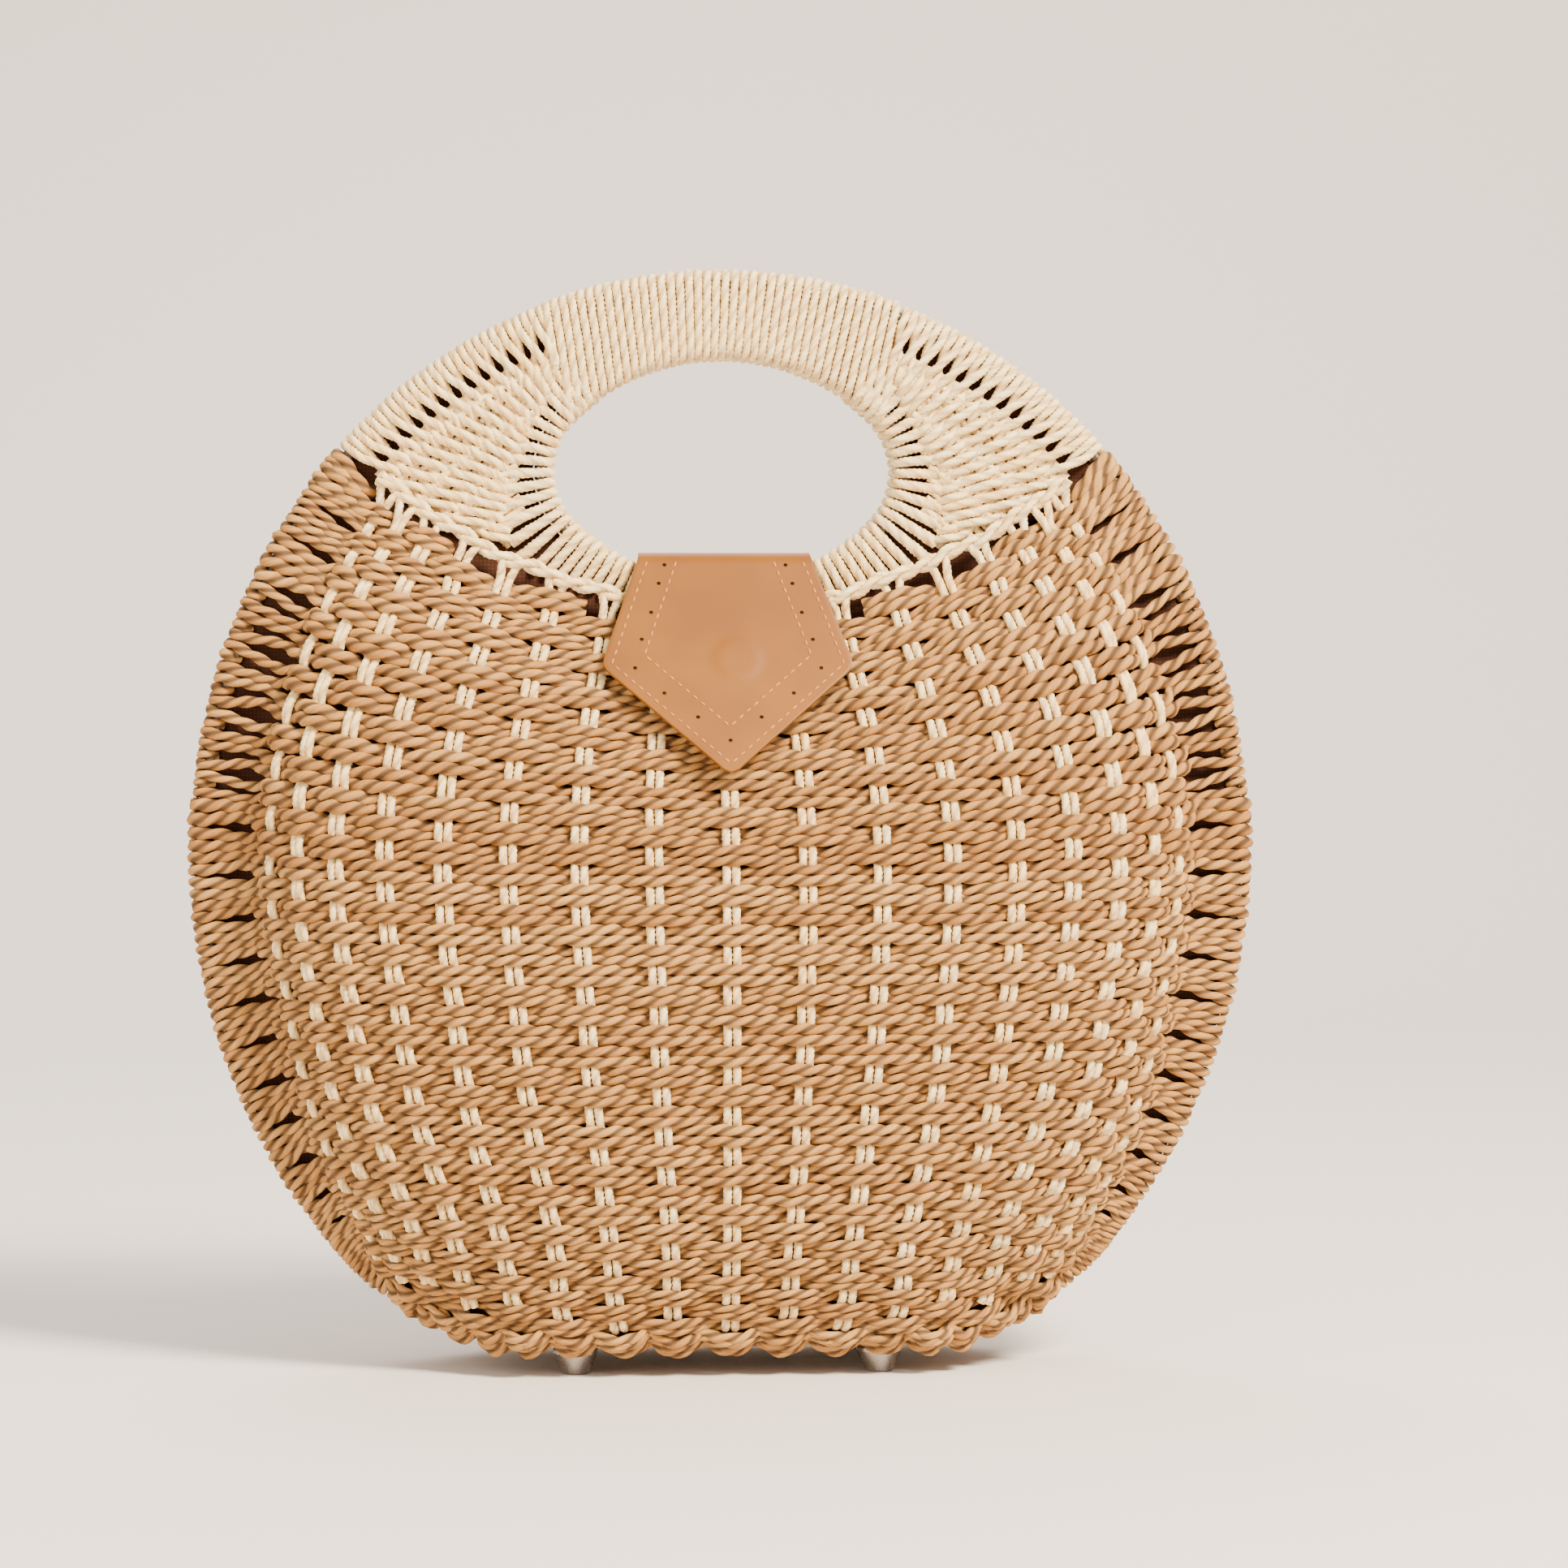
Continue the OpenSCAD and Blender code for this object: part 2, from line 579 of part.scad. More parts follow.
module foot_washers() {
    color(nickel) at_feet() translate([0, 0, base_z + base_t]) difference() {
        cylinder(r = washer_r, h = washer_t);
        translate([0, 0, -cut]) cylinder(r = screw_r + screw_clear, h = washer_t + 2 * cut);
    }
}

module floor_lining() {
    color(cloth) translate([0, 0, screw_top + head_h + gap]) linear_extrude(lining_t) polygon([
        [-base_half, -rim_front], [base_half, -rim_front],
        [base_half, -base_front + lining_gap], [-base_half, -base_front + lining_gap]
    ]);
}

// Cord lashings: tight on the back wire, turning freely on the front wire
module hinge_lashings() {
    hinge_z = base_z + wire_in;
    color(cream) for (i = [0 : lash_n - 1]) translate([lash_x(i) - lash_w / 2, 0, hinge_z]) rotate([0, 90, 0])
        difference() {
            union() {
                for (y = [-1, 1] * wire_y) translate([0, y, 0]) cylinder(r = lash_r, h = lash_w);
                translate([-cord_d / 2, -wire_y, 0]) cube([cord_d, 2 * wire_y, lash_w]);
            }
            translate([0, -wire_y, -cut]) cylinder(r = wire_r + run_gap, h = lash_w + 2 * cut);
            translate([0, wire_y, -cut]) cylinder(r = wire_r + tight_gap, h = lash_w + 2 * cut);
        }
}

// Side gusset: two leaves that meet in a fold inside the bag
gusset_from = -30;
gusset_to = 26;
module gusset() {
    arc = min(side_r, low_r);
    r0 = arc - flange_w - seat_w - gap;
    leaf = lining_t / 2;
    lip = rim_front - 2 * rope_d + gap;
    color(cloth) translate([half_w - arc, 0, belly_z]) rotate([90, 0, 0]) rotate([0, 0, gusset_from])
        rotate_extrude(angle = gusset_to - gusset_from) polygon([
            [r0, lip], [r0 - gusset_w, leaf], [r0 - gusset_w, -leaf], [r0, -lip],
            [r0, -lip + 2 * leaf], [r0 - gusset_w + 4 * leaf, 0], [r0, lip - 2 * leaf]
        ]);
}

// Flap: a profile over both rims, cut to the flap's outline
flap_t = leather_t + facing_t;
fold_low = hole_z - hole_h / 2 + hole_crown_r - sqrt(pow(hole_crown_r, 2) - pow(flap_top_w / 2, 2));
fold_gap = 0.8;                             // room between the leather and the rims below it
fold_z = fold_low + fold_gap;               // underside of the leather over the rims
bend_r = 4;
slack = 1.2;                                // room between leather and rims
bend_c = [-(rim_front + slack - bend_r), fold_z - bend_r];
roll_r = flap_t / 2;
tail_start = rim_front + slack;
pivot = [tail_start - bend_r - roll_r, fold_z + roll_r];
flap_top_z = fold_z + flap_t;
// Slope of the hanging flap from the vertical: the least at which the snap clears the weave
snap_seat = 0.4;
slope_step = 0.5;
slope_least = 20;
slope_most = 60;
function snap_clear(t) =
    let (
        off = bend_r - stud_t - gap - socket_t, reach = snap_drop + snap_d / 2,
        out = -bend_c.x + off * cos(t) + reach * sin(t), z = bend_c.y + off * sin(t) - reach * cos(t)
    )
    out - mid_depth(z);
function settle(t) = snap_clear(t) > snap_seat || t > slope_most ? t : settle(t + slope_step);
flap_deg = settle(slope_least);
echo(flap_deg = flap_deg);
flap_len = flap_drop / cos(flap_deg) + 2 * bend_r;
bend_steps = 6;

// Side of the strap at a distance off from its underside, from the hinge to the flap's end
function strap_line(off) = concat(
    [[pivot.x - roll_r - gap, fold_z + off]],
    [for (i = [0 : bend_steps])
        let (a = 90 + (90 - flap_deg) * i / bend_steps) bend_c + (bend_r + off) * [cos(a), sin(a)]],
    [bend_c + (bend_r + off) * [-cos(flap_deg), sin(flap_deg)] + flap_len * [-sin(flap_deg), -cos(flap_deg)]]
);
function reversed(v) = [for (i = [len(v) - 1 : -1 : 0]) v[i]];
function round_corner(p, before, after, r, steps) =
    let (
        a = unit(before - p), b = unit(after - p), half = acos(a * b) / 2,
        c = p + unit(a + b) * r / sin(half),
        from = atan2((p + a * r / tan(half) - c).y, (p + a * r / tan(half) - c).x),
        to = atan2((p + b * r / tan(half) - c).y, (p + b * r / tan(half) - c).x),
        sweep = (to - from) % 360, s = sweep > 180 ? sweep - 360 : sweep < -180 ? sweep + 360 : sweep
    )
    [for (i = [0 : steps]) c + r * [cos(from + s * i / steps), sin(from + s * i / steps)]];
shoulder_r = 6;
tip_r = 4;
top_r = 3;
function flap_outline() =
    let (
        tl = [-flap_top_w / 2, flap_top_z + cut], tr = flip(tl),
        sr = [flap_w / 2, flap_top_z - shoulder_drop - shoulder_r / 2], sl = flip(sr),
        tip = [0, flap_top_z - flap_drop - tip_r / 4]
    )
    concat([tl], round_corner(sl, tl, tip, shoulder_r, 6), round_corner(tip, sl, sr, tip_r, 6),
        round_corner(sr, tip, tr, shoulder_r, 6), [tr]);

module flap_layer(off0, off1) {
    intersection() {
        rotate([90, 0, 90]) translate([0, 0, -flap_w])
            linear_extrude(2 * flap_w) polygon(concat(strap_line(off1), reversed(strap_line(off0))));
        translate([0, half_depth, 0]) rotate([90, 0, 0]) linear_extrude(3 * half_depth) polygon(flap_outline());
    }
}

module flap_facing() {
    color(cream) flap_layer(0, facing_t);
}

module flap_leather() {
    color(tan_leather) flap_layer(facing_t, flap_t);
}

// Tail: rolled at the hinge, then down the back of the back half, at the least slope that clears the weave
tail_w = flap_top_w - 2 * gap;
tail_off = 0.1;                              // room between the tail and the weave's border
tail_seat = 2.15;                            // room between the tail's end and the weave
function tail_bend(t) = border_at(tail_w / 2) + tail_off / tan(t);
function tail_clear(t) =
    let (drop = tail_l - (fold_z - border_z))
    tail_start + drop * sin(t) - mid_depth(tail_bend(t) - drop * cos(t));
function settle_tail(t) = tail_clear(t) > tail_seat || t > slope_most ? t : settle_tail(t + slope_step);
tail_deg = settle_tail(slope_least);
echo(tail_deg = tail_deg);
function tail_line(off) =
    let (
        c = [tail_start - bend_r, fold_z - bend_r],
        low = [tail_start + off, tail_bend(tail_deg)],
        dir = [sin(tail_deg), -cos(tail_deg)]
    )
    concat([for (i = [0 : bend_steps]) let (a = 90 - 90 * i / bend_steps) c + (bend_r + off) * [cos(a), sin(a)]],
        [low, low + dir * (tail_l - (fold_z - border_z))]);
rivet_r = 4;
rivet_shank = 1.5;
rivet_h = 1.2;
rivet_share = 0.3;                          // rivets' distance from the middle, as a share of the tail's width
rivet_up = 6;                               // rivets' distance from the tail's end

module at_rivets() {
    end = tail_line(0)[bend_steps + 2];
    dir = [sin(tail_deg), -cos(tail_deg)];
    p = end - rivet_up * dir;
    for (x = [-1, 1] * rivet_share * tail_w)
        translate([x, p.x, p.y]) rotate([tail_deg - 90, 0, 0]) children();
}

module flap_tail() {
    color(tan_leather) difference() {
        union() {
            rotate([90, 0, 90]) translate([0, 0, -tail_w / 2])
                linear_extrude(tail_w) polygon(concat(tail_line(flap_t), reversed(tail_line(0))));
            translate([-tail_w / 2, pivot.x, pivot.y]) rotate([0, 90, 0]) cylinder(r = roll_r, h = tail_w);
            translate([-tail_w / 2, pivot.x, fold_z]) cube([tail_w, roll_r + gap, flap_t]);
        }
        at_rivets() translate([0, 0, -cut]) cylinder(r = rivet_shank + bore_gap, h = flap_t + 2 * cut);
    }
}

module tail_rivets() {
    color(nickel) at_rivets() {
        translate([0, 0, gap]) cylinder(r = rivet_shank, h = flap_t - gap + bore_gap);
        translate([0, 0, flap_t + bore_gap]) cylinder(r1 = rivet_r, r2 = rivet_r * 0.7, h = rivet_h);
    }
}

// Magnetic snap, square to the flap
nub_r = 2.25;
nub_h = 1;
nest_r = 3.6;
nest_h = 1.6;
module at_snap() {
    p = bend_c + bend_r * [-cos(flap_deg), sin(flap_deg)] + snap_drop * [-sin(flap_deg), -cos(flap_deg)];
    translate([0, p.x, p.y]) rotate([-90 - flap_deg, 0, 0]) children();
}

module snap_stud() {
    color(nickel) at_snap() {
        translate([0, 0, bore_gap]) cylinder(r = snap_d / 2, h = stud_t - bore_gap);
        translate([0, 0, stud_t]) cylinder(r = nub_r, h = nub_h);
    }
}

module snap_socket() {
    color(nickel) at_snap() translate([0, 0, stud_t + gap]) difference() {
        cylinder(r = snap_d / 2, h = socket_t);
        translate([0, 0, -cut]) cylinder(r = nest_r, h = nest_h + cut);
    }
}

front() rim_wire();  // front_rim_wire
front() hole_wire();  // front_hole_wire
front() grip_core();  // front_grip_core
front() grip_winding();  // front_grip_winding
front() rim_binding();  // front_rim_binding
front() rim_winding();  // front_rim_winding
front() hole_binding();  // front_hole_binding
front() corner_webs();  // front_corner_webs
front() weave();  // front_weave
front() base();  // front_base
front() lining();  // front_lining
front() floor_lining();  // front_floor_lining
front() feet();  // front_feet
front() foot_screws();  // front_foot_screws
front() foot_washers();  // front_foot_washers
snap_socket();
back() rim_wire();  // back_rim_wire
back() hole_wire();  // back_hole_wire
back() grip_core();  // back_grip_core
back() grip_winding();  // back_grip_winding
back() rim_binding();  // back_rim_binding
back() rim_winding();  // back_rim_winding
back() hole_binding();  // back_hole_binding
back() corner_webs();  // back_corner_webs
back() weave();  // back_weave
back() base();  // back_base
back() lining();  // back_lining
back() floor_lining();  // back_floor_lining
back() feet();  // back_feet
back() foot_screws();  // back_foot_screws
back() foot_washers();  // back_foot_washers
hinge_lashings();
mirror([1, 0, 0]) gusset();  // left_gusset
gusset();  // right_gusset
flap_tail();
tail_rivets();
flap_leather();
flap_facing();
snap_stud();
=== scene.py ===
"""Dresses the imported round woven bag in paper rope, cream cord, leather, cloth and metal."""

import logging
import math
from dataclasses import dataclass, field
from enum import Enum
from functools import cache, cached_property
from typing import Any, Callable, Iterable, Sequence

import bmesh
import bpy
import numpy as np
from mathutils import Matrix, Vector

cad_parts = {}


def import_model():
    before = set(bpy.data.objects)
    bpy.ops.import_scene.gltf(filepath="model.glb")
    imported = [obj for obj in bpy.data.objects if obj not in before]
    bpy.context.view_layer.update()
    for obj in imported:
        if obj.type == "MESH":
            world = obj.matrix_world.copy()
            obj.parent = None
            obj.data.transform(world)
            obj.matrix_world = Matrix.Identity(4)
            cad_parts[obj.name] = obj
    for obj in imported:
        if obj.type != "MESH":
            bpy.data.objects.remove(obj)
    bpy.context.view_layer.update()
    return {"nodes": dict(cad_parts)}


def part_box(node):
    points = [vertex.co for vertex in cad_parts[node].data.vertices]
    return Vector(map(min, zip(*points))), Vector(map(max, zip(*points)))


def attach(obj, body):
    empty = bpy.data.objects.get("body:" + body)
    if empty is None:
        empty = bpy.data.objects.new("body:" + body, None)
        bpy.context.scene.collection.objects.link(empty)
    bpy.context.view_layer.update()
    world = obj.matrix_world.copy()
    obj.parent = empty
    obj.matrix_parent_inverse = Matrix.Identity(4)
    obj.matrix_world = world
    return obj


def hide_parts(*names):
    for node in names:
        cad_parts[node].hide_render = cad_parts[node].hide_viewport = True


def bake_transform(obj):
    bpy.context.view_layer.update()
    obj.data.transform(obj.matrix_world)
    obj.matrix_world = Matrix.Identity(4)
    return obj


log = logging.getLogger("woven_bag")
MM = 0.001
Array = np.ndarray


# Helpers for nodes, colours and lines

def linear(colour: str) -> tuple[float, float, float, float]:
    """Turns an sRGB hex colour into linear RGBA.

    Args:
        colour: Six hex digits after a hash sign.

    Returns:
        Linear red, green, blue and an alpha of one.
    """
    parts = [int(colour[i : i + 2], 16) / 255 for i in (1, 3, 5)]
    red, green, blue = [c / 12.92 if c <= 0.04045 else ((c + 0.055) / 1.055) ** 2.4 for c in parts]
    return red, green, blue, 1.0


def feed(tree: Any, node: Any, inputs: dict[Any, Any]) -> None:
    """Sets or links a node's inputs.

    Args:
        tree: The node tree.
        node: The node to feed.
        inputs: Socket name or index to a value, to an output, or to a node whose first output feeds it.
    """
    for key, value in inputs.items():
        source = value.outputs[0] if isinstance(value, bpy.types.Node) else value
        if isinstance(source, bpy.types.NodeSocket):
            tree.links.new(source, node.inputs[key])
        else:
            node.inputs[key].default_value = source


def add(tree: Any, kind: str, inputs: dict[Any, Any] | None = None, **settings: Any) -> Any:
    """Adds one node with its settings and links.

    Args:
        tree: The node tree.
        kind: The node's type name.
        inputs: What feeds its inputs.
        settings: Properties of the node.

    Returns:
        The new node.
    """
    node = tree.nodes.new(kind)
    for name, value in settings.items():
        setattr(node, name, value)
    feed(tree, node, inputs or {})
    return node


def joined(*columns: Array | float) -> Array:
    """Points from their coordinates, where one number stands for a whole column."""
    return np.stack(np.broadcast_arrays(*columns), axis=-1)


def lengths_along(points: Array) -> Array:
    """Length from the start of a line to each of its points."""
    steps = np.linalg.norm(np.diff(points, axis=0), axis=1)
    return np.concatenate([[0.0], np.cumsum(steps)])


def spaced(points: Array, count: int) -> Array:
    """The same line with count points at equal steps."""
    along = lengths_along(points)
    return joined(*(np.interp(np.linspace(0, along[-1], count), along, column) for column in points.T))


def rounded(points: Array, count: int) -> Array:
    """A smooth line through a few guide points, with count points at equal steps.

    Args:
        points: Guide points.
        count: Number of points wanted.

    Returns:
        The new points.
    """
    line = spaced(points, 12 * len(points))
    for _ in range(10):
        line[1:-1] = (line[:-2] + 2 * line[1:-1] + line[2:]) / 4
    return spaced(line, count)


def even_angles(edge: Callable[[Array], Array], start: float, end: float, pitch: float) -> Array:
    """Angles from start to end whose points on an edge are about pitch apart.

    Args:
        edge: Front-view points by angle.
        start: First angle in degrees.
        end: Last angle in degrees.
        pitch: Step along the edge, in millimetres.

    Returns:
        Angles in degrees, each in the middle of its step.
    """
    fine = np.linspace(start, end, 2000)
    along = lengths_along(edge(fine))
    count = max(2, round(along[-1] / pitch))
    return np.interp((np.arange(count) + 0.5) / count * along[-1], along, fine)


def away_from(flat: Array, edge: Array) -> Array:
    """Distance of each front-view point from the nearest point of an edge."""
    return np.linalg.norm(flat[:, None] - edge[None], axis=2).min(axis=1)


def mirrored(points: Array) -> Array:
    """The same points on the other side of the bag's middle."""
    return points * np.array([-1, 1, 1, 1])[: points.shape[1]]


def both_sides(lines: list[Array]) -> list[Array]:
    """Lines of the right side and their mirror images."""
    return lines + [mirrored(line) for line in lines]


def fattened(points: Array, fat: Array | float) -> Array:
    """Points with a fourth column that tells how fat the rope is there."""
    return np.column_stack([points, np.broadcast_to(fat, len(points))])


def unit(vectors: Array) -> Array:
    """Vectors of length one in the same directions."""
    return vectors / np.maximum(np.linalg.norm(vectors, axis=-1, keepdims=True), 1e-9)


def hook(wire_in: float, depth: float, ring: float, turn: Array) -> Array:
    """Path round a wire: distance from the edge and depth at each angle, from the front over the edge."""
    return joined(wire_in - ring * np.sin(turn), depth + ring * np.cos(turn))


def over_edge(edge: Callable[..., Array], deg: Array | float, path: Array) -> Array:
    """Points of the front half on a path that crosses an edge.

    Args:
        edge: Front-view points by angle and distance from the edge.
        deg: Angle at which the path crosses, or one for each of its points.
        path: Distance from the edge and depth of each point.

    Returns:
        The points in millimetres.
    """
    flat = edge(np.broadcast_to(deg, len(path)), path[:, 0])
    return joined(flat[:, 0], -path[:, 1], flat[:, 1])


def round_wires(turn: Array, height: Array | float, ring_top: float, ring_low: float) -> tuple[Array, Array]:
    """Places on a turn round two wires, from the middle of the front over the upper wire.

    Args:
        turn: Share of the turn, from 0 to 1.
        height: Distance between the wires.
        ring_top: Radius of the turn round the upper wire.
        ring_low: Radius of the turn round the lower wire.

    Returns:
        Distance out from the lower wire, and from the wires' plane towards the back.
    """
    up = height / 2
    over = up + math.pi * ring_top
    down = over + height
    under = down + math.pi * ring_low
    far = turn * (under + up)
    front = np.where(far <= up, up + far, far - under)
    back = height - (far - over)
    top, low = (far - up) / ring_top, (far - down) / ring_low
    slant = (ring_top - ring_low) / height
    # A cord pulled over two wires still bulges a little between them
    bulge = ring_low + slant * front + 0.5 * np.sin(math.pi * front / height)
    part = [far <= up, far <= over, far <= down, far <= under]
    out = [front, height + ring_top * np.sin(top), back, -ring_low * np.sin(low)]
    deep = [-bulge, -ring_top * np.cos(top), ring_low + slant * back, ring_low * np.cos(low)]
    return np.select(part, out, front), np.select(part, deep, -bulge)


# The bag's form, in millimetres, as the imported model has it

@dataclass(frozen=True)
class Outline:
    """Front view of a half: a crown, sides, lower corners and a straight bottom in tangent arcs."""

    width: float = 312.0
    height: float = 320.0
    crown_h: float = 170.0
    belly_over: float = 98.2
    corner_r: float = 74.0
    ground_gap: float = 7.0
    blend_deg: float = 36.0
    flange_w: float = 18.0
    flange_full_deg: float = -15.0
    flange_end_deg: float = -62.0

    @cached_property
    def arcs(self) -> dict[str, tuple[float, float, float]]:
        """Centre x, centre z and radius of each arc of the right side."""
        half = self.width / 2
        s, c = math.sin(math.radians(self.blend_deg)), math.cos(math.radians(self.blend_deg))
        spread = (self.crown_h - half) / (s + c - 1)
        crown_r = self.crown_h - spread * s
        belly = self.height - self.crown_h
        low_h = belly - self.ground_gap - self.corner_r
        low_r = (self.belly_over**2 + low_h**2 - self.corner_r**2) / 2 / (self.belly_over - self.corner_r)
        return {
            "crown": (0.0, self.height - crown_r, crown_r),
            "side": (half - crown_r - spread, belly, crown_r + spread),
            "low": (half - low_r, belly, low_r),
            "corner": (half - self.belly_over, self.ground_gap + self.corner_r, self.corner_r),
        }

    @cached_property
    def corner_deg(self) -> float:
        """Angle below the horizontal at which the corner arc starts."""
        low, corner = self.arcs["low"], self.arcs["corner"]
        return math.degrees(math.asin((low[1] - corner[1]) / (low[2] - corner[2])))

    def rim(self, deg: Array | float, inset: Array | float = 0.0) -> Array:
        """Points of the right side where the outward normal has these angles.

        Args:
            deg: Angles of the normal, 90 at the top and -90 at the bottom.
            inset: Distance in from the outline.

        Returns:
            An array of x and z.
        """
        deg = np.asarray(deg, float)
        pick = [deg > self.blend_deg, deg > 0, deg > -self.corner_deg]
        a = self.arcs
        order = [a["crown"], a["side"], a["low"]]
        cx, cz, r = [np.select(pick, [o[i] for o in order], a["corner"][i]) for i in range(3)]
        turn = np.radians(deg)
        return np.stack([cx + (r - inset) * np.cos(turn), cz + (r - inset) * np.sin(turn)], axis=-1)

    def flange(self, deg: Array | float) -> Array:
        """Width of the flat flange at these angles."""
        share = (np.asarray(deg, float) - self.flange_end_deg) / (self.flange_full_deg - self.flange_end_deg)
        return self.flange_w * np.clip(share, 0, 1)


@dataclass(frozen=True)
class HandHole:
    """Oval hand hole of four tangent arcs."""

    width: float = 98.0
    height: float = 64.0
    centre_z: float = 261.0

    @cached_property
    def arcs(self) -> tuple[float, float, float, float]:
        """Crown radius, crown offset, side radius and side offset."""
        s = math.sqrt(0.5)
        spread = (self.height - self.width) / 2 / (2 * s - 1)
        crown = self.height / 2 - spread * s
        return crown, self.height / 2 - crown, crown + spread, self.width / 2 - crown - spread

    def edge(self, deg: Array | float, out: Array | float = 0.0) -> Array:
        """Points of the hole's edge where its outward normal has these angles, moved out.

        Args:
            deg: Angles in degrees.
            out: Distance out from the edge.

        Returns:
            An array of x and z.
        """
        crown_r, crown_off, side_r, side_off = self.arcs
        turn = np.radians(np.asarray(deg, float))
        c, s = np.abs(np.cos(turn)), np.abs(np.sin(turn))
        top = s > c
        x = np.where(top, (crown_r + out) * c, side_off + (side_r + out) * c)
        z = np.where(top, crown_off + (crown_r + out) * s, (side_r + out) * s)
        return np.stack([np.sign(np.cos(turn)) * x, self.centre_z + np.sign(np.sin(turn)) * z], axis=-1)

    def top(self, x: Array, out: float) -> Array:
        """Height of the upper edge at x, moved out.

        Args:
            x: Places across, in millimetres.
            out: Distance out from the edge.

        Returns:
            Heights in millimetres.
        """
        crown_r, crown_off, side_r, side_off = self.arcs
        crown, side = crown_r + out, side_r + out
        high = crown_off + np.sqrt(np.maximum(crown**2 - x**2, 0))
        low = np.sqrt(np.maximum(side**2 - (np.abs(x) - side_off) ** 2, 0))
        return self.centre_z + np.where(np.abs(x) <= crown * math.sqrt(0.5), high, low)


@dataclass(frozen=True)
class Dome:
    """Domed wall of a half, given by its depth from the seam over the front view."""

    outline: Outline = Outline()
    hole: HandHole = HandHole()
    seat: float = 10.7
    full: float = 52.0
    base_front: float = 34.0
    centre_z: float = 120.0
    fade_from_z: float = 90.0
    fade_over: float = 11.0
    fade_power: float = 2.2
    turn_power: float = 3.5
    turn_softer: float = 1.1
    softer_from_z: float = 60.0
    softer_over: float = 40.0
    border_z: float = 220.2
    straw_deg: float = 41.0
    border_gap: float = 5.0
    lowest: float = 0.5
    row_pitch: float = 5.72
    last_pitch: float = 3.5
    under_from_z: float = 52.0
    cut_rows: int = 2
    smile: float = 24.0
    smile_share: float = 0.19
    corner_from: float = 0.72
    corner_over: float = 0.28
    column_deg: float = 9.0
    column_reach: float = 1.0137
    columns: int = 8
    widest: float = 140.0
    narrowest: float = 60.0
    lowest_end: float = 92.0

    @cached_property
    def junction(self) -> Array:
        """Where the border of the weave meets the flange, on the right."""
        return self.outline.rim(self.straw_deg, self.outline.flange_w)

    def border(self, x: Array | float) -> Array:
        """Height of the weave's upper border at x."""
        return self.border_z + (self.junction[1] - self.border_z) * (np.asarray(x) / self.junction[0]) ** 2

    def foot_depth(self, deg: Array) -> Array:
        """Depth of the dome's foot at these angles of the outline."""
        c = np.clip((self.outline.flange_end_deg - deg) / (90 + self.outline.flange_end_deg), 0, 1)
        return self.seat + (self.base_front - self.seat) * c * c * (3 - 2 * c)

    @cached_property
    def foot(self) -> tuple[Array, Array, Array]:
        """Bearing from the dome's centre, distance and depth of the foot of the right half."""
        deg = np.linspace(-90, self.straw_deg, 400)
        side = self.outline.rim(deg, self.outline.flange(deg))
        x_low = np.linspace(0, side[0, 0], 40)[:-1]
        x_top = np.linspace(self.junction[0], 0, 80)[1:]
        x = np.concatenate([x_low, side[:, 0], x_top])
        z = np.concatenate([np.full(39, self.outline.ground_gap), side[:, 1], self.border(x_top)])
        depth = np.concatenate([np.full(39, self.base_front), self.foot_depth(deg), np.full(79, self.seat)])
        return np.arctan2(z - self.centre_z, x), np.hypot(x, z - self.centre_z), depth

    def reach(self, x: Array, z: Array) -> tuple[Array, Array]:
        """Share of the way from the dome's centre to its foot, and the foot's depth there.

        Args:
            x: Places across, in millimetres.
            z: Heights in millimetres.

        Returns:
            The shares and the depths.
        """
        bearing, distance, depth = self.foot
        at = np.arctan2(z - self.centre_z, np.abs(x))
        share = np.hypot(x, z - self.centre_z) / np.interp(at, bearing, distance)
        return share, np.interp(at, bearing, depth)

    def depth(self, x: Array, z: Array) -> Array:
        """Distance of the dome's outside from the seam.

        Args:
            x: Places across, in millimetres.
            z: Heights in millimetres.

        Returns:
            Distances in millimetres.
        """
        share, foot = self.reach(x, z)
        top = self.border(x) + self.fade_over
        fade = np.clip((z - self.fade_from_z) / (top - self.fade_from_z), 0, 1) ** self.fade_power
        full = self.seat + (self.full - self.seat) * (1 - fade)
        # The wall turns under more softly at the bottom than at the sides
        low = np.clip((self.softer_from_z - z) / self.softer_over, 0, 1)
        power = self.turn_power - self.turn_softer * low
        return foot + np.maximum(0, full - foot) * np.sqrt(np.clip(1 - share**power, 0, 1))

    def normal(self, x: Array, z: Array) -> Array:
        """Unit normal of the outside of the front half, away from the bag.

        Args:
            x: Places across, in millimetres.
            z: Heights in millimetres.

        Returns:
            An array of unit vectors.
        """
        h = 0.4
        dx = (self.depth(x + h, z) - self.depth(x - h, z)) / (2 * h)
        dz = (self.depth(x, z + h) - self.depth(x, z - h)) / (2 * h)
        return unit(np.stack([-dx, -np.ones_like(dx), -dz], axis=-1))

    @cached_property
    def middle(self) -> tuple[Array, Array]:
        """Lengths down the centre line and the heights there."""
        z = np.linspace(self.border_z - self.border_gap, self.outline.ground_gap + self.lowest, 800)
        line = np.stack([z, self.depth(np.zeros_like(z), z)], axis=1)
        return lengths_along(line), z

    @cached_property
    def row_counts(self) -> tuple[int, int]:
        """Number of wefts across the centre line over the turn of the wall, and along the turn."""
        along, z = self.middle
        turn = float(np.interp(-self.under_from_z, -z, along))
        turned = (along[-1] - turn) / (self.row_pitch + self.last_pitch) * 2
        return round(turn / self.row_pitch), round(turned)

    @property
    def rows(self) -> int:
        """Number of wefts that cross the centre line."""
        return sum(self.row_counts)

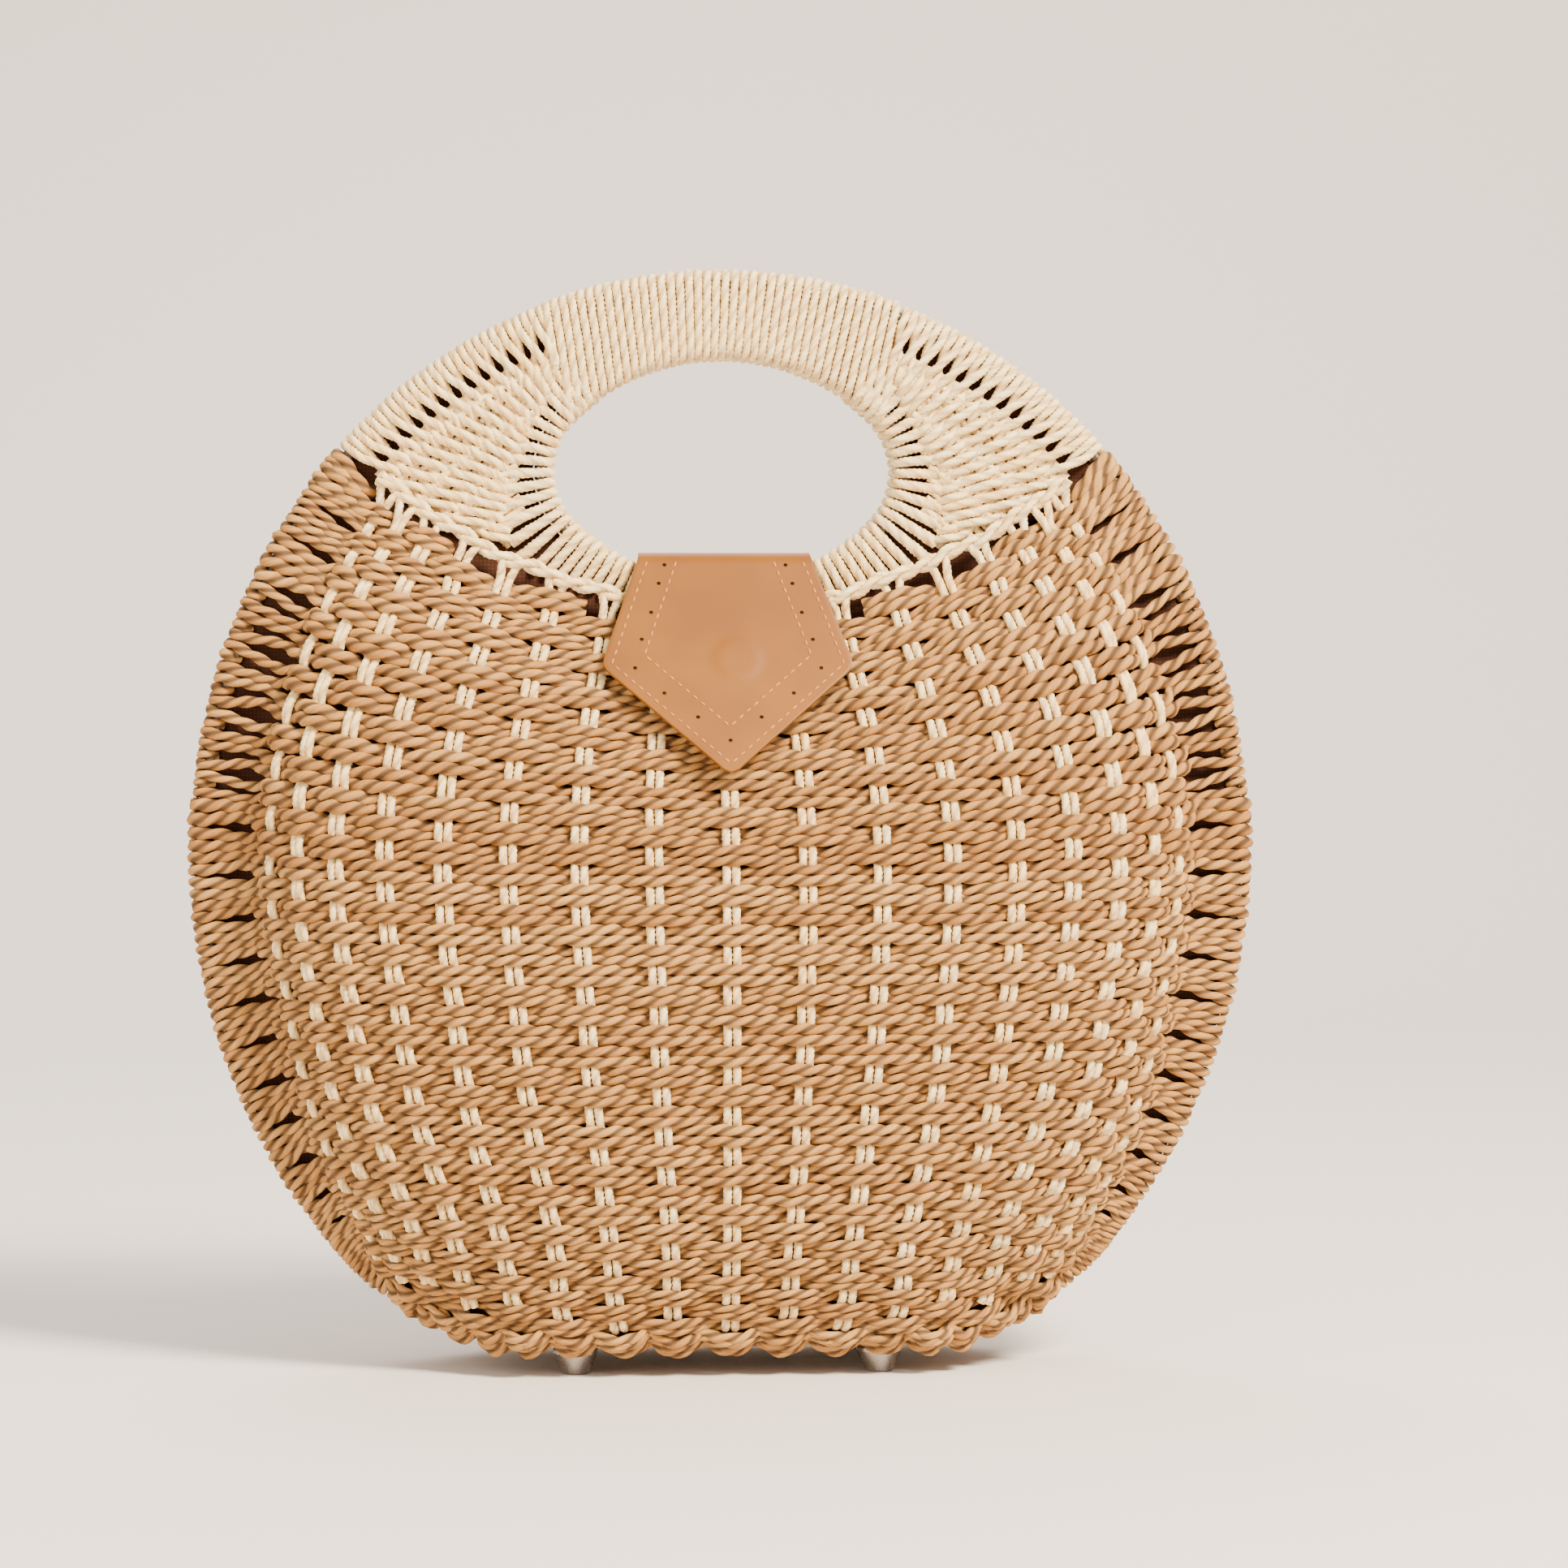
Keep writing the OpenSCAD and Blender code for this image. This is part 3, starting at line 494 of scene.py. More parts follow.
    def down_middle(self, v: float) -> float:
        """Length down the centre line to the weft line that lies v of the way down.

        Args:
            v: Share of the way down the wall.

        Returns:
            The length in millimetres.
        """
        straight, turned = self.row_counts
        row = v * self.rows
        past = max(0.0, row - straight)
        tighter = (self.row_pitch - self.last_pitch) / (2 * turned)
        whole = straight * self.row_pitch + turned * (self.row_pitch + self.last_pitch) / 2
        return (row * self.row_pitch - tighter * past * past) * self.middle[0][-1] / whole

    def row_height(self, v: float, x: Array) -> Array:
        """Height at x of the weft line that lies v of the way down the wall.

        Lines above the first have v below zero: they would cross the middle over the border.

        Args:
            v: Share of the way down the wall.
            x: Places across, in millimetres.

        Returns:
            Heights in millimetres.
        """
        along, z = self.middle
        middle = float(np.interp(self.down_middle(max(v, 0)), along, z)) + self.down_middle(max(-v, 0))
        smile = self.smile * math.exp(-((max(v, 0) / self.smile_share) ** 2))
        corner_x, corner_z, corner_r = self.outline.arcs["corner"]
        beyond = np.clip(np.abs(x) - corner_x, 0, corner_r)
        lift = corner_z - np.sqrt(corner_r**2 - beyond**2) - self.outline.ground_gap
        share = min(1.0, max(0.0, (v - self.corner_from) / self.corner_over))
        return middle + smile * (x / self.junction[0]) ** 2 + share * share * (3 - 2 * share) * lift

    def half_row(self, v: float, count: int) -> tuple[Array, float]:
        """Right half of a weft line at equal steps on the surface.

        Args:
            v: Share of the way down the wall.
            count: Number of points.

        Returns:
            The points' x and z, and the half row's length.
        """
        x = np.linspace(0, self.widest, 1400)
        z = self.row_height(v, x)
        share, _ = self.reach(x, z)
        outside = np.nonzero((share > 1.002) & (x > self.narrowest))[0]
        end = x[outside[0] - 1] if len(outside) else self.lowest_end
        x = end * np.sin(np.linspace(0, math.pi / 2, 700))
        z = self.row_height(v, x)
        line = np.stack([x, z, self.depth(x, z)], axis=1)
        return spaced(line, count)[:, :2], float(end)

    def column_at(self, share: Array) -> Array:
        """Column number at a share of the half row's width: even steps round a curve."""
        return np.degrees(np.arcsin(np.clip(share / self.column_reach, 0, 1))) / self.column_deg

    def column_share(self, column: int) -> float:
        """Share of the half row's width at which a column hangs."""
        return self.column_reach * math.sin(math.radians(column * self.column_deg))

    def foot_angle(self, point: Array) -> float:
        """Angle of the outline at which a point of the foot lies.

        Args:
            point: Its x and z.

        Returns:
            The angle in degrees.
        """
        deg = np.linspace(self.straw_deg + 2, -75, 1200)
        foot = self.outline.rim(deg, self.outline.flange(deg))
        return float(deg[np.linalg.norm(foot - point, axis=1).argmin()])


# Finishes

@dataclass(frozen=True)
class Finish:
    """A material's name, colour and roughness; the finishes below add to what feeds its shader."""

    name: str
    colour: str
    roughness: float

    def feeds(self, tree: Any) -> dict[str, Any]:
        """Nodes and values for the shader's inputs beyond the plain colour and roughness.

        Args:
            tree: The material's node tree.

        Returns:
            Shader input to what feeds it.
        """
        return {}

    def make(self) -> bpy.types.Material:
        """The finished material.

        Returns:
            The material.
        """
        material = bpy.data.materials.new(self.name)
        material.use_nodes = True
        tree = material.node_tree
        tree.nodes.clear()
        shader = add(tree, "ShaderNodeBsdfPrincipled", {
            "Base Color": linear(self.colour), "Roughness": self.roughness})
        feed(tree, shader, self.feeds(tree))
        add(tree, "ShaderNodeOutputMaterial", {"Surface": shader})
        return material


@dataclass(frozen=True)
class TwistedStrand(Finish):
    """A finish for rope and cord, which reads what the rope tree stores on its mesh."""

    second: str
    crease: str
    crease_share: float
    fibre_mm: float
    fibre_bump_mm: float
    sheen: float

    def feeds(self, tree: Any) -> dict[str, Any]:
        """Strand colour by length of rope, shade painted dark into the creases between the plies, and fine
        fibres along them.

        Args:
            tree: The material's node tree.

        Returns:
            Shader input to what feeds it.
        """
        face = add(tree, "ShaderNodeAttribute", attribute_name="face").outputs["Vector"]
        along, lot, ply = (add(tree, "ShaderNodeAttribute", attribute_name=name).outputs["Fac"]
                           for name in ("along", "lot", "ply"))
        parts = add(tree, "ShaderNodeSeparateXYZ", {0: face})
        # Fibres run along the rope, so the pattern moves slowly that way and afresh for each length of rope
        slow = add(tree, "ShaderNodeMath", {0: along, 1: 0.14}, operation="MULTIPLY")
        shift = add(tree, "ShaderNodeMath", {0: lot, 1: 0.37, 2: slow}, operation="MULTIPLY_ADD")
        where = add(tree, "ShaderNodeCombineXYZ", {0: parts.outputs[0], 1: parts.outputs[1], 2: shift})
        fibres = add(tree, "ShaderNodeTexNoise", {
            "Vector": where, "Scale": 1 / (self.fibre_mm * MM), "Detail": 3.0, "Roughness": 0.6})
        patches = add(tree, "ShaderNodeTexNoise", {
            "Vector": where, "Scale": 1 / (4 * self.fibre_mm * MM), "Detail": 1.0})
        tint = add(tree, "ShaderNodeMath", {0: lot, 1: 0.55, 2: patches}, operation="MULTIPLY_ADD")
        share = add(tree, "ShaderNodeMapRange", {0: tint, 1: 0.35, 2: 1.1})
        body = add(tree, "ShaderNodeMix", {
            "Factor": share, 6: linear(self.colour), 7: linear(self.second)}, data_type="RGBA").outputs[2]
        # Painted shade: the colour darkens towards the crease shade colour as the ply value falls towards the
        # crease
        deep = add(tree, "ShaderNodeMapRange", {0: ply, 1: -1.0, 2: 0.35, 3: self.crease_share, 4: 0.0})
        with_crease_shade = add(tree, "ShaderNodeMix", {
            "Factor": deep, 6: body, 7: linear(self.crease)}, data_type="RGBA").outputs[2]
        fine = add(tree, "ShaderNodeMapRange", {0: fibres, 1: 0.3, 2: 0.75, 3: 0.7, 4: 1.2})
        lit = add(tree, "ShaderNodeVectorMath", {0: with_crease_shade, "Scale": fine}, operation="SCALE")
        bump = add(tree, "ShaderNodeBump", {
            "Strength": 0.7, "Distance": self.fibre_bump_mm * MM, "Height": fibres})
        return {"Base Color": lit, "Normal": bump, "Sheen Weight": self.sheen, "Specular IOR Level": 0.25}


# Two-ply paper rope, dry and matt: its twist shows as slanting strands, with shade painted dark brown into
# the creases between them
PAPER_ROPE = TwistedStrand("twisted_paper_rope", "#9F6C33", 0.82, "#C39354", "#332116", 0.95, 0.45, 0.2, 0.0)
# Smooth cotton cord: nearly white, with a soft bloom and hardly any crease, where a little shade is painted
# in
COTTON_CORD = TwistedStrand("cotton_cord", "#FFD88F", 0.78, "#FFEAB2", "#965F28", 0.5, 0.4, 0.06, 0.1)


@dataclass(frozen=True)
class Grained(Finish):
    """Leather, suede or thread: a mottled colour and a fine grain."""

    second: str
    mottle_mm: float
    grain_mm: float
    grain_bump_mm: float
    gloss: float
    coat: float

    def feeds(self, tree: Any) -> dict[str, Any]:
        """Colour that drifts over centimetres, and a grain of small cells.

        Args:
            tree: The material's node tree.

        Returns:
            Shader input to what feeds it.
        """
        where = add(tree, "ShaderNodeTexCoord").outputs["Object"]
        drift = add(tree, "ShaderNodeTexNoise", {
            "Vector": where, "Scale": 1 / (self.mottle_mm * MM), "Detail": 2.0})
        share = add(tree, "ShaderNodeMapRange", {0: drift, 1: 0.35, 2: 0.65})
        body = add(tree, "ShaderNodeMix", {
            "Factor": share, 6: linear(self.colour), 7: linear(self.second)}, data_type="RGBA").outputs[2]
        cells = add(tree, "ShaderNodeTexVoronoi", {"Vector": where, "Scale": 1 / (self.grain_mm * MM)})
        rough = add(tree, "ShaderNodeTexNoise", {
            "Vector": where, "Scale": 0.4 / (self.grain_mm * MM), "Detail": 4.0})
        both = add(tree, "ShaderNodeMath", {0: cells, 1: 0.5, 2: rough}, operation="MULTIPLY_ADD")
        bump = add(tree, "ShaderNodeBump", {
            "Strength": 0.6, "Distance": self.grain_bump_mm * MM, "Height": both})
        return {"Base Color": body, "Normal": bump, "Specular IOR Level": self.gloss,
                "Coat Weight": self.coat, "Coat Roughness": 0.35}


# Vegetable-tanned cowhide with a light glaze: warm tan, smooth, a soft sheen
STRAP_LEATHER = Grained("glazed_cowhide", "#734306", 0.48, "#7F4D0A", 26.0, 0.7, 0.02, 0.25, 0.05)
# Split leather, suede side out: pale and dull
SUEDE = Grained("split_suede", "#B98A5E", 0.9, "#C79C70", 6.0, 0.4, 0.08, 0.2, 0.0)
# Waxed polyester thread: a paler gold than the leather
WAXED_THREAD = Grained("waxed_thread", "#A86A22", 0.5, "#B67B30", 3.0, 0.3, 0.03, 0.5, 0.0)


@dataclass(frozen=True)
class PlatedMetal(Finish):
    """Plated or drawn metal with faint draw lines."""

    streak_mm: float = 0.4
    bump_mm: float = 0.004

    def feeds(self, tree: Any) -> dict[str, Any]:
        """Bare metal whose roughness drifts a little.

        Args:
            tree: The material's node tree.

        Returns:
            Shader input to what feeds it.
        """
        where = add(tree, "ShaderNodeTexCoord").outputs["Object"]
        streaks = add(tree, "ShaderNodeTexNoise", {
            "Vector": where, "Scale": 1 / (self.streak_mm * MM), "Detail": 2.0})
        dull = add(tree, "ShaderNodeMapRange", {
            0: streaks, 1: 0.3, 2: 0.7, 3: self.roughness - 0.05, 4: self.roughness + 0.08})
        bump = add(tree, "ShaderNodeBump", {
            "Strength": 0.4, "Distance": self.bump_mm * MM, "Height": streaks})
        return {"Roughness": dull, "Normal": bump, "Metallic": 1.0}


# Nickel plate over zinc, polished then handled: grey and a little warm
NICKEL = PlatedMetal("nickel_plate", "#A9A29A", 0.26)
# Drawn steel wire, dark and warm with a dull shine: its colour is darkened as painted shade, since the wire
# lies in shade inside the weave
WIRE = PlatedMetal("shade_darkened_steel", "#65584C", 0.5)


@dataclass(frozen=True)
class WovenCloth(Finish):
    """Plain cotton cloth with a thread every so many millimetres."""

    second: str
    thread_mm: float = 0.9

    def feeds(self, tree: Any) -> dict[str, Any]:
        """Threads both ways, in two near shades.

        Args:
            tree: The material's node tree.

        Returns:
            Shader input to what feeds it.
        """
        where = add(tree, "ShaderNodeTexCoord").outputs["Object"]
        # A thread is about 0.3 mm; it is drawn three times as coarse, so that it shows
        warp, weft = (add(tree, "ShaderNodeTexWave", {
            "Vector": where, "Scale": 1 / (self.thread_mm * MM) / 4, "Distortion": 0.6},
            bands_direction=way).outputs[1] for way in ("X", "Z"))
        both = add(tree, "ShaderNodeMath", {0: warp, 1: weft}, operation="MULTIPLY")
        body = add(tree, "ShaderNodeMix", {
            "Factor": both, 6: linear(self.colour), 7: linear(self.second)}, data_type="RGBA").outputs[2]
        bump = add(tree, "ShaderNodeBump", {"Strength": 0.5, "Distance": 0.1 * MM, "Height": both})
        return {"Base Color": body, "Normal": bump, "Specular IOR Level": 0.15}


# Brown plain-woven cotton, coloured as dark as the shade inside the bag: it paints that shade behind the open
# weave
LINING = WovenCloth("brown_cotton_painted_shade", "#3B2115", 0.92, "#4C2E1E")
# Matt pale paper backdrop
PALE_FLOOR = Finish("pale_backdrop", "#E2DBD3", 0.9)


@cache
def dressed(finish: Finish) -> bpy.types.Material:
    """The material of a finish, made once."""
    return finish.make()


# Rope and cord

@dataclass(frozen=True)
class Lay:
    """How a rope or cord is laid, in millimetres; the waist is a share of its radius."""

    radius: float
    turn: float
    waist: float
    sides: int
    step: float
    wander: float = 0.48


STRAW_LAY = Lay(1.84, -12.5, 0.33, 10, 1.35, 1.4)
CORD_LAY = Lay(1.36, 11.0, 0.05, 8, 1.5)
FINE_CORD_LAY = Lay(1.3, 11.0, 0.05, 8, 1.3)
LASHING_LAY = Lay(1.28, 11.0, 0.05, 8, 1.2)


def new_tree(name: str, inputs: dict[str, str]) -> tuple[Any, Any]:
    """A geometry node tree with named inputs and one geometry output.

    Args:
        name: Name of the tree.
        inputs: Name of each input to the kind of its socket.

    Returns:
        The tree and the outputs of its input node.
    """
    tree = bpy.data.node_groups.new(name, "GeometryNodeTree")
    for socket, kind in inputs.items():
        tree.interface.new_socket(socket, in_out="INPUT", socket_type=f"NodeSocket{kind}")
    tree.interface.new_socket("Result", in_out="OUTPUT", socket_type="NodeSocketGeometry")
    return tree, add(tree, "NodeGroupInput").outputs


@cache
def rope_tree() -> bpy.types.NodeTree:
    """Geometry nodes that turn lines into twisted rope.

    Returns:
        A tree whose inputs set the rope's size, twist, waist, steps, wander, seed and finish.
    """
    tree, given = new_tree("laid_rope", {
        "Lines": "Geometry", "Radius": "Float", "Turn": "Float", "Waist": "Float", "Step": "Float",
        "Wander": "Float", "Sides": "Int", "Seed": "Int", "Finish": "Material"})
    curve = add(tree, "GeometryNodeMeshToCurve", {0: given["Lines"]})
    even = add(tree, "GeometryNodeResampleCurve", {"Curve": curve, "Length": given["Step"]}, mode="LENGTH")
    # A rope never lies quite straight: slow noise shifts it a little each way
    noise = add(tree, "ShaderNodeTexNoise", {"Scale": 90.0, "Detail": 1.0}).outputs["Color"]
    level = add(tree, "ShaderNodeVectorMath", {0: noise, 1: (0.5, 0.5, 0.5)}, operation="SUBTRACT")
    shift = add(tree, "ShaderNodeVectorMath", {0: level, "Scale": given["Wander"]}, operation="SCALE")
    loose = add(tree, "GeometryNodeSetPosition", {"Geometry": even, "Offset": shift})
    far = add(tree, "GeometryNodeSplineParameter").outputs["Length"]
    which = add(tree, "GeometryNodeCurveOfPoint").outputs["Curve Index"]
    lot = add(tree, "FunctionNodeRandomValue", {
        "ID": which, "Seed": given["Seed"]}, data_type="FLOAT").outputs[1]
    turns = add(tree, "ShaderNodeMath", {0: far, 1: given["Turn"]}, operation="DIVIDE")
    start = add(tree, "ShaderNodeMath", {0: turns, 1: lot}, operation="ADD")
    tilt = add(tree, "ShaderNodeMath", {0: start, 1: 2 * math.pi}, operation="MULTIPLY")
    rope = add(tree, "GeometryNodeSetCurveTilt", {"Curve": loose, "Tilt": tilt})
    ring = add(tree, "GeometryNodeCurvePrimitiveCircle", {
        "Resolution": given["Sides"], "Radius": given["Radius"]})
    # From 1 in the middle of a ply to -1 in the crease between the two
    place = add(tree, "GeometryNodeInputPosition").outputs[0]
    axes = add(tree, "ShaderNodeSeparateXYZ", {0: place}).outputs
    squares = [add(tree, "ShaderNodeMath", {0: axes[i], 1: axes[i]}, operation="MULTIPLY") for i in (0, 1)]
    less, more = (add(tree, "ShaderNodeMath", dict(enumerate(squares)), operation=way)
                  for way in ("SUBTRACT", "ADD"))
    ply = add(tree, "ShaderNodeMath", {0: less, 1: more}, operation="DIVIDE")
    for name, value in (("along", far), ("lot", lot)):
        rope = add(tree, "GeometryNodeStoreNamedAttribute", {
            "Geometry": rope, "Name": name, "Value": value}, data_type="FLOAT")
    for name, value, kind in (("face", place, "FLOAT_VECTOR"), ("ply", ply, "FLOAT")):
        ring = add(tree, "GeometryNodeStoreNamedAttribute", {
            "Geometry": ring, "Name": name, "Value": value}, data_type=kind)
    off = add(tree, "ShaderNodeMath", {0: 1.0, 1: ply}, operation="SUBTRACT")
    half = add(tree, "ShaderNodeMath", {0: off, 1: 0.5}, operation="MULTIPLY")
    dent = add(tree, "ShaderNodeMath", {0: half, 1: given["Waist"]}, operation="MULTIPLY")
    keep = add(tree, "ShaderNodeMath", {0: 1.0, 1: dent}, operation="SUBTRACT")
    drawn = add(tree, "ShaderNodeVectorMath", {0: place, "Scale": keep}, operation="SCALE")
    profile = add(tree, "GeometryNodeSetPosition", {"Geometry": ring, "Position": drawn})
    fat = add(tree, "GeometryNodeInputNamedAttribute", {"Name": "fat"}, data_type="FLOAT").outputs[0]
    swept = add(tree, "GeometryNodeCurveToMesh", {
        "Curve": rope, "Profile Curve": profile, "Scale": fat, "Fill Caps": True})
    smooth = add(tree, "GeometryNodeSetShadeSmooth", {"Geometry": swept})
    solid = add(tree, "GeometryNodeRealizeInstances", {"Geometry": smooth})
    done = add(tree, "GeometryNodeSetMaterial", {"Geometry": solid, "Material": given["Finish"]})
    add(tree, "NodeGroupOutput", {0: done})
    return tree


@cache
def stitch_tree() -> bpy.types.NodeTree:
    """Geometry nodes that lay short round-ended stitches along lines.

    Returns:
        A tree whose inputs set the stitches' pitch, length, thickness and finish.
    """
    tree, given = new_tree("stitch_row", {
        "Lines": "Geometry", "Pitch": "Float", "Length": "Float", "Thickness": "Float", "Finish": "Material"})
    curve = add(tree, "GeometryNodeMeshToCurve", {0: given["Lines"]})
    places = add(tree, "GeometryNodeCurveToPoints", {"Curve": curve, "Length": given["Pitch"]}, mode="LENGTH")
    thread = add(tree, "GeometryNodeMeshUVSphere", {"Segments": 8, "Rings": 6, "Radius": 0.5})
    size = add(tree, "ShaderNodeCombineXYZ", {
        0: given["Thickness"], 1: given["Thickness"], 2: given["Length"]})
    laid = add(tree, "GeometryNodeInstanceOnPoints", {
        "Points": places, "Instance": thread, "Rotation": places.outputs["Rotation"], "Scale": size})
    solid = add(tree, "GeometryNodeRealizeInstances", {"Geometry": laid})
    smooth = add(tree, "GeometryNodeSetShadeSmooth", {"Geometry": solid})
    done = add(tree, "GeometryNodeSetMaterial", {"Geometry": smooth, "Material": given["Finish"]})
    add(tree, "NodeGroupOutput", {0: done})
    return tree


def placed(name: str, data: Any) -> bpy.types.Object:
    """A new object in the scene.

    Args:
        name: Name of the object.
        data: Its mesh, camera or lamp.

    Returns:
        The object.
    """
    made = bpy.data.objects.new(name, data)
    bpy.context.scene.collection.objects.link(made)
    return made


def applied(obj: bpy.types.Object) -> bpy.types.Object:
    """The same object with what its modifiers make as a plain mesh, and no modifier.

    Args:
        obj: An object with modifiers.

    Returns:
        The object itself.
    """
    old = obj.data
    obj.data = bpy.data.meshes.new_from_object(obj.evaluated_get(bpy.context.evaluated_depsgraph_get()))
    obj.modifiers.clear()
    bpy.data.meshes.remove(old)
    return obj


def wire_mesh(name: str, lines: Iterable[Array]) -> bpy.types.Object:
    """An object of bare edges, one chain for each line.

    Args:
        name: Name of the object.
        lines: Points of each line in metres, with how fat the rope is there or without.

    Returns:
        The object, linked to the scene.
    """
    lines = [line if line.shape[1] == 4 else fattened(line, 1.0) for line in lines]
    points = np.concatenate(lines)
    last = np.cumsum([len(line) for line in lines]) - 1
    starts = np.setdiff1d(np.arange(len(points)), last)
    mesh = bpy.data.meshes.new(name)
    mesh.vertices.add(len(points))
    mesh.vertices.foreach_set("co", points[:, :3].astype(np.float32).ravel())
    fat = mesh.attributes.new("fat", "FLOAT", "POINT")
    fat.data.foreach_set("value", points[:, 3].astype(np.float32))
    mesh.edges.add(len(starts))
    mesh.edges.foreach_set("vertices", joined(starts, starts + 1).astype(np.int32).ravel())
    mesh.update()
    return placed(name, mesh)


def grown(obj: bpy.types.Object, tree: bpy.types.NodeTree, values: dict[str, Any]) -> bpy.types.Object:
    """Runs a geometry node tree on an object and keeps the result as a plain mesh.

    Args:
        obj: The object whose mesh feeds the tree.
        tree: The node tree.
        values: Input name to value.

    Returns:
        The same object with the finished mesh and no modifier.
    """
    modifier = obj.modifiers.new("grow", "NODES")
    modifier.node_group = tree
    for item in tree.interface.items_tree:
        if item.in_out == "INPUT" and item.name in values:
            modifier[item.identifier] = values[item.name]
    return applied(obj)


def settle(obj: bpy.types.Object, body: str, slot: str, *nodes: str) -> None:
    """Puts a piece on its body, hides the CAD nodes that it stands for, and reports it.

    Args:
        obj: The piece.
        body: The CAD body that it rides on.
        slot: Not used.
        nodes: The CAD nodes that it stands for.
    """
    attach(obj, body)
    if nodes:
        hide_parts(*nodes)
    log.info("%s: %d faces on %s", obj.name, len(obj.data.polygons), body)


def rope_piece(name: str, lines: Iterable[Array], lay: Lay, finish: Finish, seed: int,
               body: str, *nodes: str) -> None:
    """Makes one piece of laid rope or cord.

    Args:
        name: Name of the piece.
        lines: Points of each length of rope, in metres.
        lay: How the rope is laid.
        finish: What it is made of.
        seed: Seed of what differs from length to length.
        body: The CAD body that it rides on.
        nodes: The CAD nodes that it stands for.
    """
    piece = grown(wire_mesh(name, lines), rope_tree(), {
        "Radius": lay.radius * MM, "Turn": lay.turn * MM, "Waist": lay.waist, "Step": lay.step * MM,
        "Wander": lay.wander * MM, "Sides": lay.sides, "Seed": seed, "Finish": dressed(finish)})
    settle(piece, body, "rope" if finish is PAPER_ROPE else "cord", *nodes)


def mesh_piece(name: str, points: Array, faces: Sequence[Sequence[int]], finish: Finish) -> bpy.types.Object:
    """An object from points in metres and faces.

    Args:
        name: Name of the object.
        points: Its points in metres.
        faces: Numbers of the points round each face.
        finish: What it is made of.

    Returns:
        The object, linked to the scene.
    """
    mesh = bpy.data.meshes.new(name)
    mesh.from_pydata([tuple(p) for p in points], [], [tuple(f) for f in faces])
    mesh.polygons.foreach_set("use_smooth", [True] * len(mesh.polygons))
    mesh.materials.append(dressed(finish))
    mesh.update()
    return placed(name, mesh)


def thickened(obj: bpy.types.Object, thickness: float) -> bpy.types.Object:
    """The same object with a modifier that gives its sheet a thickness in millimetres.

    Args:
        obj: A sheet.
        thickness: How thick it gets.

    Returns:
        The object itself.
    """
    solid = obj.modifiers.new("thick", "SOLIDIFY")
    solid.thickness = thickness * MM
    solid.offset = 0
    return obj


def outward(mesh: bpy.types.Mesh) -> None:
    """Merges doubles and turns the faces of a closed mesh outwards.

    Args:
        mesh: The mesh to change.
    """
    work = bmesh.new()
    work.from_mesh(mesh)
    bmesh.ops.remove_doubles(work, verts=work.verts, dist=1e-6)
    bmesh.ops.recalc_face_normals(work, faces=work.faces)
    work.to_mesh(mesh)
    work.free()


def grid_faces(rows: int, columns: int, first: int = 0) -> list[tuple[int, int, int, int]]:
    """Faces of a grid of points stored row by row, from the point numbered first."""
    corners = [first + r * columns + c for r in range(rows - 1) for c in range(columns - 1)]
    return [(n, n + 1, n + columns + 1, n + columns) for n in corners]


class Side(Enum):
    """One half of the bag, by which way its dome faces."""

    FRONT = -1
    BACK = 1

    @property
    def word(self) -> str:
        """The half's name in pieces and nodes."""
        return self.name.lower()

    @property
    def body(self) -> str:
        """The CAD body that the half rides on."""
        return f"{self.word}_shell"

    def place(self, points: Array) -> Array:
        """Points of the front half, moved to this half and to metres; a fourth column stays."""
        return points * np.array([MM, -self.value * MM, MM, 1.0])[: points.shape[1]]

    def laid(self, name: str, lines: Iterable[Array], lay: Lay, finish: Finish, seed: int,
             *nodes: str) -> None:
        """Makes one piece of rope or cord on this half, from lines of the front half in millimetres."""
        rope_piece(f"{self.word}_{name}", [self.place(line) for line in lines], lay, finish, seed,
                   self.body, *(f"{self.word}_{node}" for node in nodes))

    def cloth(self, name: str, points: Array, faces: Sequence[Sequence[int]], thickness: float,
              *nodes: str) -> bpy.types.Object:
        """Makes one piece of lining cloth on this half.

        Args:
            name: Name of the piece after the half's.
            points: Points of the cloth's middle, in metres.
            faces: Faces between them.
            thickness: Thickness in millimetres.
            nodes: The CAD nodes that it stands for, without the half's name.

        Returns:
            The piece.
        """
        piece = applied(thickened(mesh_piece(f"{self.word}_{name}", points, faces, LINING), thickness))
        settle(piece, self.body, "lining", *(f"{self.word}_{node}" for node in nodes))
        return piece


# The woven halves

